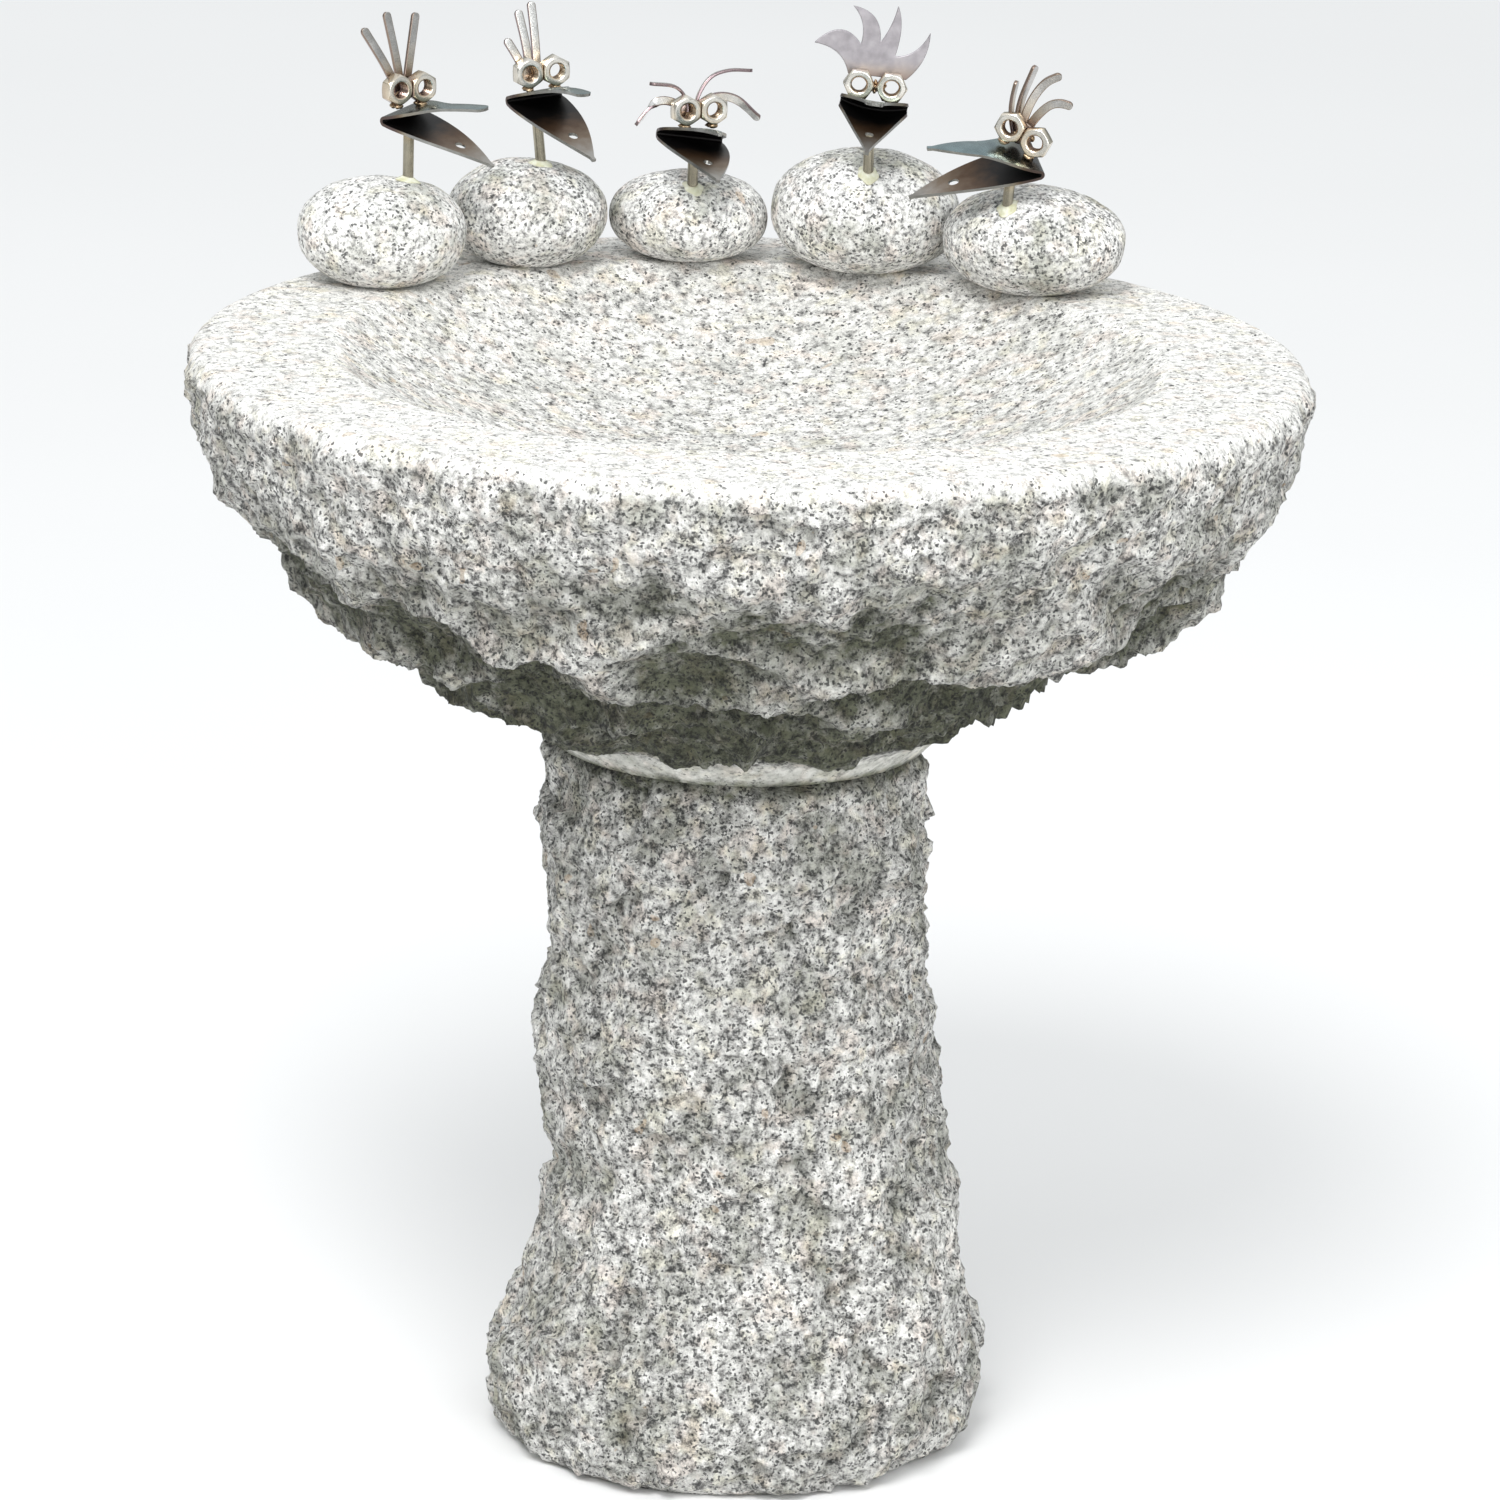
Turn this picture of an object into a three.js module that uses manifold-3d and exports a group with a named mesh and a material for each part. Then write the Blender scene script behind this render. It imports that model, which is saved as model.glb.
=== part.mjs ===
// Granite birdbath: a rough-hewn pedestal column, a shallow granite bowl that
// is located on it by a steel dowel, and five birds standing along the back of
// the rim. Each bird is a beach stone with a stainless steel head on a neck rod.
//
// Units are millimetres, +Z is up. The origin is the centre of the ground face.
// The front of the birdbath faces -Y, and the birds stand on the +Y half.

import * as THREE from 'three';
import { mergeVertices } from 'three/addons/utils/BufferGeometryUtils.js';
import Module from 'manifold-3d';

const wasm = await Module();
wasm.setup();

// ---------------------------------------------------------------- dimensions

const GAP = 0.3; // clearance kept between neighbouring solids

const RIM_HEIGHT = 508; // ground to the flat top of the rim
const RIM_RADIUS = 250; // outside of the bowl
const BASIN_RADIUS = 185; // inner edge of the rim
const BASIN_DEPTH = 52; // rim to the bottom of the basin
const BOWL_HEIGHT = 177; // turned foot to the top of the rim
const JOINT_HEIGHT = RIM_HEIGHT - BOWL_HEIGHT; // where the bowl stands on the column
const FOOT_RADIUS = 86; // turned foot ring under the bowl
const FOOT_BAND = 13; // height of the smooth turned band
const COLUMN_RADIUS = 84; // column at its top
const GROUND_RADIUS = 98; // flat face that stands on the ground

const DOWEL_RADIUS = 8;
const DOWEL_LENGTH = 70;
const DOWEL_IN_COLUMN = 42;

const STONE_FULLNESS = 2.3; // 2 would be an ellipsoid; more is boxier in height
const STONE_FLAT = 0.9; // share of the half height at which a bird's stone is ground flat
const NECK_RADIUS = 2.5;
const NECK_BURIED = 18; // length of rod inside the stone
const SOCKET_RADIUS = 4.4; // hole drilled in a stone for the neck
const RESIN_PROUD = 1.4; // resin standing above the stone around the rod

const SHEET = 2; // beak sheet thickness
const FOLD_RADIUS = 1.8; // centre line radius of the fold at the back of a beak
const BEAK_HOLE_RADIUS = 2.4;
const BEAK_HOLE_AT = 0.62; // share of the lower mandible's length
const LOWER_DROOP = 4; // how far the lower mandible's tip curves down

const NUT_FLATS = 13; // M8 hexagon nut
const NUT_HEIGHT = 6.5;
const NUT_BORE_RADIUS = 3.6;
const NUT_FORWARD = 6; // nut centre in front of the fold
const NUT_LIFT = 1; // weld gap between a nut and the beak

const STRIP_WIDTH = 4;
const STRIP_THICKNESS = 1.6;
const PLATE_THICKNESS = 1.6;
const PALM_THICKNESS = 1.9;
const CREST_LEAN = 0.1; // how far a crest leans back for its height
const CREST_FOOT = 8; // height of a crest's lower end above the fold
const CREST_BACK = 1.1; // middle of a flat crest behind the backs of the eye nuts

const ROUND_BOWL = 48; // segments around each kind of round body
const ROUND_COLUMN = 36;
const ROUND_STONE = 20;
const ROUND_SMALL = 14;
const ROUND_NUT = 16;

// Each bird, from left to right. Positions are on the rim plan. gaze is the
// heading of the beak in degrees, counted from straight ahead (-Y) towards +X;
// roll lifts the bird's left side. raise and drop are the angles of the upper
// and lower mandible, and arch is how far the upper one curves down again.
// Crest strips, and the fingers of a crest cut from one sheet, stand behind the
// eyes; each line runs through points given as (right, up) from the fold of the
// beak, and twist turns it about its length.
const BIRDS = [
  {
    name: 'bird_1',
    stone: { x: -171, y: 118, length: 78, depth: 68, height: 49.5, turn: 8 },
    neck: { x: -159.6, y: 118, lean: [0, 0] },
    head: { x: -163, y: 124, z: 586, gaze: 56, roll: 7 },
    beak: { width: 28, upper: 50, lower: 52, raise: 13, arch: 4, drop: 13.5, blunt: true },
    eyes: { gaze: 38, roll: 0, spacing: 13.4, side: -1.5, lift: 0.9, corner: true },
    strips: [
      { twist: 0, line: [[-0.5, 8], [-8, 24], [-18, 41.5]] },
      { twist: 0, line: [[0, 8], [-3.6, 27], [-8.2, 47.5]] },
      { twist: 0, line: [[0.8, 8], [2.8, 27], [4.8, 45.5]] },
    ],
  },
  {
    name: 'bird_2',
    stone: { x: -106.5, y: 173, length: 76, depth: 68, height: 48.5, turn: -4 },
    neck: { x: -100.2, y: 168, lean: [-0.11, 0] },
    head: { x: -103.6, y: 176, z: 585.5, gaze: 32, roll: 3 },
    beak: { width: 30, upper: 50, lower: 55, raise: 19, arch: 8.5, drop: 15, blunt: true },
    eyes: { gaze: 24, roll: 3, spacing: 13.4, side: 0, lift: 0, corner: true },
    strips: [
      { twist: 0, line: [[-3.5, 8], [-8, 18], [-14.2, 28.3]] },
      { twist: 0, line: [[-2.6, 8], [-5, 24], [-9.2, 41]] },
      { twist: 0, line: [[0.5, 8], [-1, 26], [-3.4, 44.3]] },
    ],
  },
  {
    name: 'bird_3',
    stone: { x: -31, y: 195, length: 75, depth: 66, height: 41.5, turn: 4 },
    neck: { x: -29.3, y: 175, lean: [0, 0] },
    head: { x: -31, y: 183.5, z: 567.5, gaze: 18, roll: -8 },
    beak: { width: 33, upper: 44, lower: 50, raise: 18, arch: 6, drop: 6, blunt: false },
    eyes: { gaze: 22, roll: 0, spacing: 13.4, side: 0, lift: 1, corner: true },
    crest: {
      back: 2.6,
      palm: { right: -0.5, up: 12, radius: 5.5 },
      fingers: [
        { twist: 75, line: [[-1.6, 9], [-2.4, 17.5], [-7.8, 24], [-19.6, 26]] },
        { twist: 10, line: [[-3, 11], [-8, 16.5], [-16.5, 17], [-25.6, 7]] },
        { twist: 75, line: [[1.5, 9], [3, 19], [8.5, 27.5], [17, 30.5], [28, 30]] },
        { twist: 10, line: [[2, 11], [9.5, 18], [20.4, 17], [32, 7]] },
      ],
    },
  },
  {
    name: 'bird_4',
    stone: { x: 52, y: 184, length: 90, depth: 76, height: 55.5, turn: 0 },
    neck: { x: 52.4, y: 160, lean: [0, 0] },
    head: { x: 53.8, y: 168, z: 586.4, gaze: -2, roll: -7 },
    beak: { width: 32, upper: 49, lower: 48, raise: 15, arch: 3, drop: 7, blunt: true, fullness: 0.45 },
    eyes: { gaze: 0, roll: -5, spacing: 15.2, side: -0.8, lift: 0.5, corner: false },
    plate: { right: 0, up: 14.5 },
  },
  {
    name: 'bird_5',
    stone: { x: 130, y: 146, length: 85, depth: 72, height: 48.5, turn: -6 },
    neck: { x: 116.6, y: 126, lean: [0.06, 0] },
    head: { x: 127.4, y: 129, z: 573, gaze: -77, roll: -20 },
    beak: { width: 29, upper: 52, lower: 58, raise: 12, arch: 6, drop: 14, blunt: false },
    eyes: { gaze: -16, roll: -27, spacing: 13.6, side: 0, lift: 0.8, corner: true },
    crest: {
      back: 2.6,
      palm: { right: -5.5, up: 12.5, radius: 5.5 },
      fingers: [
        { twist: 80, line: [[-8.5, 9], [-10.4, 19], [-10.2, 27], [-8.5, 35.7]] },
        { twist: 60, line: [[-7, 9], [-7.4, 18], [-5.6, 28.5], [-0.1, 43.3]] },
        { twist: 15, line: [[-6, 9], [-5, 17], [-1.2, 27.5], [4.5, 35.6], [11.6, 39.8]] },
        { twist: 0, line: [[-4, 9], [-1, 17], [5.5, 24.6], [11, 26.9], [17.2, 26]] },
      ],
    },
  },
];

// Outline of the flame-shaped crest plate: width across and height above its
// lower edge. Each tongue is tip, then the valley to its right.
const FLAME_BASE = { left: [-12.3, 2.4], right: [14.7, 0] };
const FLAME_TONGUES = [
  { bulge: [-14.7, 14.3], tip: [-28.4, 16.2], inner: [-15.5, 29], valley: [-6.7, 16.2] },
  { bulge: [-3.9, 26.6], tip: [-10.8, 33.8], inner: [3.2, 31.7], valley: [2.4, 17.2] },
  { bulge: [8.1, 25.2], tip: [10.1, 34.4], inner: [14, 25.4], valley: [9.4, 10.8] },
  { bulge: [20, 10.8], tip: [25.5, 22.4], inner: [25.5, 8.8], valley: null },
];

// ----------------------------------------------------------------- materials

function finish(color, roughness, metalness) {
  return new THREE.MeshStandardMaterial({ color, roughness, metalness });
}

const material = {
  hewnGranite: () => finish('#b9b8b4', 0.95, 0),
  dressedGranite: () => finish('#cfcdc9', 0.9, 0),
  beachStone: () => finish('#dcdad6', 0.7, 0),
  stainless: () => finish('#a9a7a2', 0.28, 1),
  tintedSteel: () => finish('#8f8273', 0.32, 1),
  resin: () => finish('#c9cba0', 0.4, 0),
};

// ------------------------------------------------------------------- helpers

function toSolid(geometry) {
  const plain = geometry.index ? geometry.toNonIndexed() : geometry.clone();
  plain.deleteAttribute('normal');
  plain.deleteAttribute('uv');
  const merged = mergeVertices(plain, 1e-4);
  return new wasm.Manifold(
    new wasm.Mesh({
      numProp: 3,
      vertProperties: new Float32Array(merged.attributes.position.array),
      triVerts: new Uint32Array(merged.index.array),
    }),
  );
}

function fromSolid(solid) {
  const mesh = solid.getMesh();
  const geometry = new THREE.BufferGeometry();
  geometry.setAttribute('position', new THREE.BufferAttribute(mesh.vertProperties, 3));
  geometry.setIndex(new THREE.BufferAttribute(mesh.triVerts, 1));
  geometry.computeVertexNormals();
  return geometry;
}

function named(name, geometry, surface) {
  const mesh = new THREE.Mesh(geometry, surface);
  mesh.name = name;
  return mesh;
}

function turned(profile, segments) {
  const points = profile.map(([radius, height]) => new THREE.Vector2(radius, height));
  return new THREE.LatheGeometry(points, segments).rotateX(Math.PI / 2);
}

function eachVertex(geometry, move) {
  const position = geometry.attributes.position;
  const point = new THREE.Vector3();
  for (let i = 0; i < position.count; i += 1) {
    point.fromBufferAttribute(position, i);
    move(point);
    position.setXYZ(i, point.x, point.y, point.z);
  }
  return geometry;
}

function smoothstep(low, high, value) {
  return THREE.MathUtils.smoothstep(value, low, high);
}

const radians = THREE.MathUtils.degToRad;

// Low, broad undulations such as a pointing chisel leaves on split granite.
function chiselled(azimuth, height, seed) {
  const wide = Math.sin(3 * azimuth + height * 0.031 + seed);
  const middle = Math.sin(7 * azimuth - height * 0.057 + 2.1 * seed);
  const small = Math.sin(13 * azimuth + height * 0.11 + 0.7 * seed);
  return 0.5 * wide + 0.32 * middle + 0.18 * small;
}

// -------------------------------------------------------------- stone column

const COLUMN_TOP = JOINT_HEIGHT - GAP;

const COLUMN_PROFILE = [
  [GROUND_RADIUS, 0],
  [106, 6],
  [111, 15],
  [113, 28],
  [111, 41],
  [106.5, 58],
  [100, 74],
  [95, 92],
  [92, 114],
  [88.5, 141],
  [90, 168],
  [88, 192],
  [85, 217],
  [84.5, 240],
  [86.5, 268],
  [87.5, 291],
  [85.5, 311],
  [COLUMN_RADIUS, COLUMN_TOP - 5],
  [COLUMN_RADIUS - 4, COLUMN_TOP],
];

// The rough stone swells towards +X in its lower half.
function columnShift(height) {
  return 11 * Math.exp(-(((height - 112) / 58) ** 2)) + 4.5 * (1 - height / COLUMN_TOP);
}

function columnGeometry() {
  const boreRadius = DOWEL_RADIUS + GAP;
  const boreFloor = COLUMN_TOP - DOWEL_IN_COLUMN - GAP;
  const geometry = turned(
    [[0, 0], ...COLUMN_PROFILE, [boreRadius, COLUMN_TOP], [boreRadius, boreFloor], [0, boreFloor]],
    ROUND_COLUMN,
  );
  return eachVertex(geometry, (point) => {
    const radius = Math.hypot(point.x, point.y);
    if (radius < COLUMN_RADIUS - 10) return;
    const azimuth = Math.atan2(point.y, point.x);
    const calm = smoothstep(0, 14, point.z) * (1 - smoothstep(COLUMN_TOP - 16, COLUMN_TOP, point.z));
    const scale = 1 + (1.8 * calm * chiselled(azimuth, point.z, 1.3)) / radius;
    const shift = columnShift(point.z) * smoothstep(-1, 12, point.z);
    point.x = point.x * scale + shift;
    point.y *= scale;
  });
}

// ---------------------------------------------------------------- stone bowl

const BOWL_UNDERSIDE = [
  [FOOT_RADIUS, 0],
  [FOOT_RADIUS + 12, FOOT_BAND - 1],
  [FOOT_RADIUS + 15, FOOT_BAND + 1],
  [109, 18],
  [124, 29],
  [143, 41],
  [162, 53],
  [181, 67],
  [201, 81],
  [217, 97],
  [231, 115],
  [240.5, 133],
  [246.5, 151],
  [RIM_RADIUS, 164],
  [249, 170],
  [245, 174.6],
  [238, BOWL_HEIGHT],
];

function basinProfile() {
  const steps = 9;
  const points = [[BASIN_RADIUS + 3, BOWL_HEIGHT]];
  for (let i = steps; i >= 0; i -= 1) {
    const share = i / steps;
    const drop = BASIN_DEPTH * (1 - share ** 2.3);
    points.push([BASIN_RADIUS * share, BOWL_HEIGHT - 1.2 - drop * (1 - 1.2 / BASIN_DEPTH)]);
  }
  return points;
}

function bowlGeometry() {
  const boreRadius = DOWEL_RADIUS + GAP;
  const boreRoof = DOWEL_LENGTH - DOWEL_IN_COLUMN + 2;
  const profile = [[0, boreRoof], [boreRadius, boreRoof], [boreRadius, 0], ...BOWL_UNDERSIDE];
  const geometry = turned([...profile, ...basinProfile()], ROUND_BOWL);
  return eachVertex(geometry, (point) => {
    const radius = Math.hypot(point.x, point.y);
    const skin = smoothstep(FOOT_BAND + 1, 30, point.z) * (1 - smoothstep(140, 168, point.z));
    const outside = radius > BASIN_RADIUS * Math.sqrt(Math.max(point.z, 0) / BOWL_HEIGHT);
    if (!outside || skin <= 0) return;
    const azimuth = Math.atan2(point.y, point.x);
    const scale = 1 + (3.2 * skin * chiselled(azimuth, point.z * 1.4, 4.2)) / radius;
    point.x *= scale;
    point.y *= scale;
  });
}

// --------------------------------------------------------------- bird stones

function stoneHalfHeight(stone) {
  return stone.height / (1 + STONE_FLAT);
}

// Height of a stone's top above the rim at a point of the plan.
function stoneTop(stone, x, y) {
  const half = stoneHalfHeight(stone);
  const turn = radians(stone.turn);
  const dx = x - stone.x;
  const dy = y - stone.y;
  const along = (dx * Math.cos(turn) + dy * Math.sin(turn)) / (stone.length / 2);
  const across = (dy * Math.cos(turn) - dx * Math.sin(turn)) / (stone.depth / 2);
  const share = along ** 2 + across ** 2;
  return GAP + STONE_FLAT * half + half * (1 - share) ** (1 / STONE_FULLNESS);
}

function stoneGeometry(bird) {
  const { stone, neck } = bird;
  const half = stoneHalfHeight(stone);
  const body = new THREE.SphereGeometry(1, ROUND_STONE, 14).rotateX(Math.PI / 2);
  eachVertex(body, (point) => {
    const girth = Math.hypot(point.x, point.y);
    const full = Math.sqrt(Math.max(1 - Math.abs(point.z) ** STONE_FULLNESS, 0));
    const spread = girth > 1e-6 ? full / girth : 0;
    point.set(point.x * spread, point.y * spread, Math.max(point.z, -STONE_FLAT));
  });
  body.scale(stone.length / 2, stone.depth / 2, half);
  body.rotateZ(radians(stone.turn));
  body.translate(stone.x, stone.y, GAP + STONE_FLAT * half);
  const surface = stoneTop(stone, neck.x, neck.y);
  const depth = NECK_BURIED + 1.5;
  const drill = new THREE.CylinderGeometry(SOCKET_RADIUS, SOCKET_RADIUS, depth + 20, ROUND_SMALL);
  drill.rotateX(Math.PI / 2);
  drill.translate(0, 0, (20 - depth) / 2);
  leanAlong(drill, neck);
  drill.translate(neck.x, neck.y, surface);
  return fromSolid(toSolid(body).subtract(toSolid(drill)));
}

// Shears an upright piece so that it follows its neck's lean.
function leanAlong(geometry, neck) {
  return eachVertex(geometry, (point) => {
    point.x += neck.lean[0] * point.z;
    point.y += neck.lean[1] * point.z;
  });
}

function resinGeometry(bird) {
  const inner = NECK_RADIUS + GAP;
  const outer = SOCKET_RADIUS - GAP;
  const ring = turned(
    [[inner, -NECK_BURIED], [outer, -NECK_BURIED], [outer, 0.4], [inner + 0.5, RESIN_PROUD],
      [inner, RESIN_PROUD], [inner, -NECK_BURIED]],
    ROUND_SMALL,
  );
  return leanAlong(ring, bird.neck);
}

// ---------------------------------------------------------------- bird heads

// Places a group on the fold of the beak: local +X looks ahead along the gaze,
// +Y is the bird's left and +Z is up, rolled about the gaze.
function headFrame(position, gaze, roll) {
  const heading = radians(gaze);
  const ahead = new THREE.Vector3(Math.sin(heading), -Math.cos(heading), 0);
  const left = new THREE.Vector3(Math.cos(heading), Math.sin(heading), 0);
  left.applyAxisAngle(ahead, radians(roll));
  const up = new THREE.Vector3().crossVectors(ahead, left);
  const frame = new THREE.Matrix4().makeBasis(ahead, left, up);
  return frame.setPosition(position.x, position.y, position.z);
}

// Centre line of the folded sheet, from the upper tip round the fold to the lower tip.
function beakLine(beak) {
  const steps = 7;
  const points = [];
  const raise = radians(beak.raise);
  const drop = radians(beak.drop);
  for (let i = steps; i >= 1; i -= 1) {
    const share = i / steps;
    const reach = beak.upper * share;
    const height = FOLD_RADIUS + reach * Math.sin(raise) - beak.arch * share ** 2;
    points.push(new THREE.Vector2(reach * Math.cos(raise), height));
  }
  for (let i = 0; i <= 6; i += 1) {
    const turn = Math.PI / 2 + (Math.PI * i) / 6;
    points.push(new THREE.Vector2(FOLD_RADIUS * Math.cos(turn), FOLD_RADIUS * Math.sin(turn)));
  }
  for (let i = 1; i <= steps; i += 1) {
    const share = i / steps;
    const reach = beak.lower * share;
    const height = -FOLD_RADIUS - reach * Math.sin(drop) - LOWER_DROOP * share ** 3;
    points.push(new THREE.Vector2(reach * Math.cos(drop), height));
  }
  return points;
}

// Closed band of the sheet's thickness around a line.
function bandShape(line, thickness) {
  const left = [];
  const right = [];
  line.forEach((point, i) => {
    const before = line[Math.max(i - 1, 0)];
    const after = line[Math.min(i + 1, line.length - 1)];
    const normal = new THREE.Vector2(before.y - after.y, after.x - before.x).normalize();
    left.push(point.clone().addScaledVector(normal, thickness / 2));
    right.push(point.clone().addScaledVector(normal, -thickness / 2));
  });
  return new THREE.Shape([...left, ...right.reverse()]);
}

function upperOutline(beak) {
  const half = beak.width / 2;
  const tip = beak.upper;
  const neckHalf = beak.blunt ? 4.6 : 6;
  const outline = new THREE.Shape();
  outline.moveTo(-6, -half);
  outline.lineTo(0.06 * tip, -half);
  outline.quadraticCurveTo(0.3 * tip, -half * 0.75, 0.5 * tip, -neckHalf);
  if (beak.blunt) {
    outline.lineTo(tip - 3.6, -3.8);
    outline.quadraticCurveTo(tip, -3.6, tip, 0);
    outline.quadraticCurveTo(tip, 3.6, tip - 3.6, 3.8);
  } else {
    outline.quadraticCurveTo(0.78 * tip, -neckHalf * 0.8, tip, -0.5);
    outline.lineTo(tip, 0.5);
    outline.quadraticCurveTo(0.78 * tip, neckHalf * 0.8, 0.5 * tip, neckHalf);
  }
  outline.lineTo(0.5 * tip, neckHalf);
  outline.quadraticCurveTo(0.3 * tip, half * 0.75, 0.06 * tip, half);
  outline.lineTo(-6, half);
  return outline;
}

function lowerOutline(beak) {
  const half = beak.width / 2;
  const tip = beak.lower;
  const fullness = beak.fullness ?? 0.9; // how far its sides bulge; 0.4 is straight
  const outline = new THREE.Shape();
  outline.moveTo(-6, -half);
  outline.lineTo(0.08 * tip, -half);
  outline.quadraticCurveTo(0.62 * tip, -half * fullness, tip, -0.5);
  outline.lineTo(tip, 0.5);
  outline.quadraticCurveTo(0.62 * tip, half * fullness, 0.08 * tip, half);
  outline.lineTo(-6, half);
  return outline;
}

function beakGeometry(beak) {
  const band = new THREE.ExtrudeGeometry(bandShape(beakLine(beak), SHEET), {
    depth: beak.width + 4,
    bevelEnabled: false,
  });
  band.translate(0, 0, -(beak.width + 4) / 2).rotateX(Math.PI / 2);
  const reach = 40;
  const options = { depth: reach, bevelEnabled: false, curveSegments: 6 };
  const above = new THREE.ExtrudeGeometry(upperOutline(beak), options);
  const below = new THREE.ExtrudeGeometry(lowerOutline(beak), options).translate(0, 0, -reach);
  const drill = new THREE.CylinderGeometry(BEAK_HOLE_RADIUS, BEAK_HOLE_RADIUS, reach, ROUND_SMALL);
  drill.rotateX(Math.PI / 2).translate(beak.lower * BEAK_HOLE_AT, 0, -reach / 2 - 1);
  const blank = toSolid(above).add(toSolid(below));
  return fromSolid(toSolid(band).intersect(blank).subtract(toSolid(drill)));
}

// Hexagon nut with chamfered corners on both faces, its axis along +X.
function nutGeometry(corner) {
  const corners = NUT_FLATS / Math.sqrt(3);
  const hexagon = new THREE.CylinderGeometry(corners, corners, NUT_HEIGHT, 6);
  hexagon.rotateY(corner ? 0 : Math.PI / 6).rotateZ(-Math.PI / 2);
  const face = NUT_FLATS / 2 - 0.2;
  const cut = corners + 0.3;
  const fall = 1.1;
  const half = NUT_HEIGHT / 2;
  const chamfer = turned(
    [[0, -half - 0.1], [face, -half - 0.1], [cut, -half + fall], [cut, half - fall],
      [face, half + 0.1], [0, half + 0.1]],
    ROUND_NUT,
  ).rotateY(Math.PI / 2);
  const bore = new THREE.CylinderGeometry(
    NUT_BORE_RADIUS,
    NUT_BORE_RADIUS,
    NUT_HEIGHT + 2,
    ROUND_NUT,
  ).rotateZ(-Math.PI / 2);
  return fromSolid(toSolid(hexagon).intersect(toSolid(chamfer)).subtract(toSolid(bore)));
}

// Point of a crest seen at (right, up) from the fold, standing a set distance
// behind the eye nuts. The crest leans back a little as it rises.
function behindEyes(right, up, back, gaze) {
  const ahead = new THREE.Vector3().setFromMatrixColumn(gaze, 0);
  const seat = new THREE.Vector3().setFromMatrixPosition(gaze);
  const behind = NUT_HEIGHT / 2 + back + CREST_LEAN * (up - CREST_FOOT);
  const depth = seat.y - (behind + (right - seat.x) * ahead.x + (up - seat.z) * ahead.z) / ahead.y;
  return new THREE.Vector3(right, depth, up);
}

// A flat strip with a round end that follows a gently curved line.
function stripGeometry(strip, back, gaze) {
  const line = new THREE.CatmullRomCurve3(strip.line.map((point) => behindEyes(...point, back, gaze)));
  const length = line.getLength();
  const round = STRIP_WIDTH / 2;
  const straight = strip.line.length > 3 ? 10 : 4;
  const ending = 4;
  const steps = straight + ending;
  const body = new THREE.BoxGeometry(1, 1, steps, 1, 1, steps);
  const start = line.getTangentAt(0);
  const across = new THREE.Vector3().setFromMatrixColumn(gaze, 1);
  across.addScaledVector(start, -across.dot(start)).normalize();
  across.applyAxisAngle(start, radians(strip.twist));
  return eachVertex(body, (point) => {
    const ring = Math.round(point.z + steps / 2);
    const turn = (Math.max(ring - straight, 0) / ending) * radians(82);
    const reach = Math.min(ring / straight, 1) * (length - round) + round * Math.sin(turn);
    const centre = line.getPointAt(reach / length);
    const tangent = line.getTangentAt(reach / length);
    const side = across.clone().addScaledVector(tangent, -across.dot(tangent)).normalize();
    const flat = new THREE.Vector3().crossVectors(tangent, side);
    const offset = point.x * STRIP_WIDTH * Math.cos(turn);
    const depth = point.y * STRIP_THICKNESS;
    point.copy(centre).addScaledVector(side, offset).addScaledVector(flat, depth);
  });
}

// A crest cut from one sheet: a small palm with its fingers bent apart.
function crestGeometry(crest, gaze) {
  const { right, up, radius } = crest.palm;
  const palm = new THREE.CylinderGeometry(radius, radius, PALM_THICKNESS, ROUND_SMALL);
  palm.rotateZ(-Math.PI / 2).applyMatrix4(new THREE.Matrix4().extractRotation(gaze));
  palm.translate(...behindEyes(right, up, crest.back, gaze));
  const fingers = crest.fingers.map((finger) => toSolid(stripGeometry(finger, crest.back, gaze)));
  return fromSolid(fingers.reduce((whole, finger) => whole.add(finger), toSolid(palm)));
}

function flameGeometry() {
  const outline = new THREE.Shape();
  outline.moveTo(...FLAME_BASE.left);
  FLAME_TONGUES.forEach((tongue) => {
    outline.quadraticCurveTo(...tongue.bulge, ...tongue.tip);
    const end = tongue.valley ?? FLAME_BASE.right;
    outline.quadraticCurveTo(...tongue.inner, ...end);
  });
  outline.lineTo(...FLAME_BASE.left);
  const plate = new THREE.ExtrudeGeometry(outline, {
    depth: PLATE_THICKNESS,
    bevelEnabled: false,
    curveSegments: 8,
  });
  return plate.translate(0, 0, -PLATE_THICKNESS / 2).rotateX(Math.PI / 2);
}

// Neck rod from the bottom of its socket up to the underside of the beak, which
// cuts its top off at a slant.
function neckGeometry(bird, head) {
  const { stone, neck, beak } = bird;
  const surface = stoneTop(stone, neck.x, neck.y);
  const rod = new THREE.CylinderGeometry(NECK_RADIUS, NECK_RADIUS, 1, ROUND_SMALL);
  rod.rotateX(Math.PI / 2).translate(0, 0, 0.5);
  const drop = radians(beak.drop);
  const normal = new THREE.Vector3(-Math.sin(drop), 0, -Math.cos(drop));
  const point = new THREE.Vector3(0, 0, -FOLD_RADIUS).addScaledVector(normal, SHEET / 2 + 2 * GAP);
  normal.transformDirection(head);
  point.applyMatrix4(head);
  return eachVertex(rod, (vertex) => {
    const foot = new THREE.Vector3(neck.x + vertex.x, neck.y + vertex.y, RIM_HEIGHT + surface);
    const slope = new THREE.Vector3(neck.lean[0], neck.lean[1], 1);
    const climb = point.clone().sub(foot).dot(normal) / slope.dot(normal);
    const height = vertex.z > 0.5 ? climb : -NECK_BURIED;
    vertex.set(vertex.x + slope.x * height, vertex.y + slope.y * height, height);
  });
}

// --------------------------------------------------------------- put together

const birdbath = new THREE.Group();

birdbath.add(named('pedestal_column', columnGeometry(), material.hewnGranite()));

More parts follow.
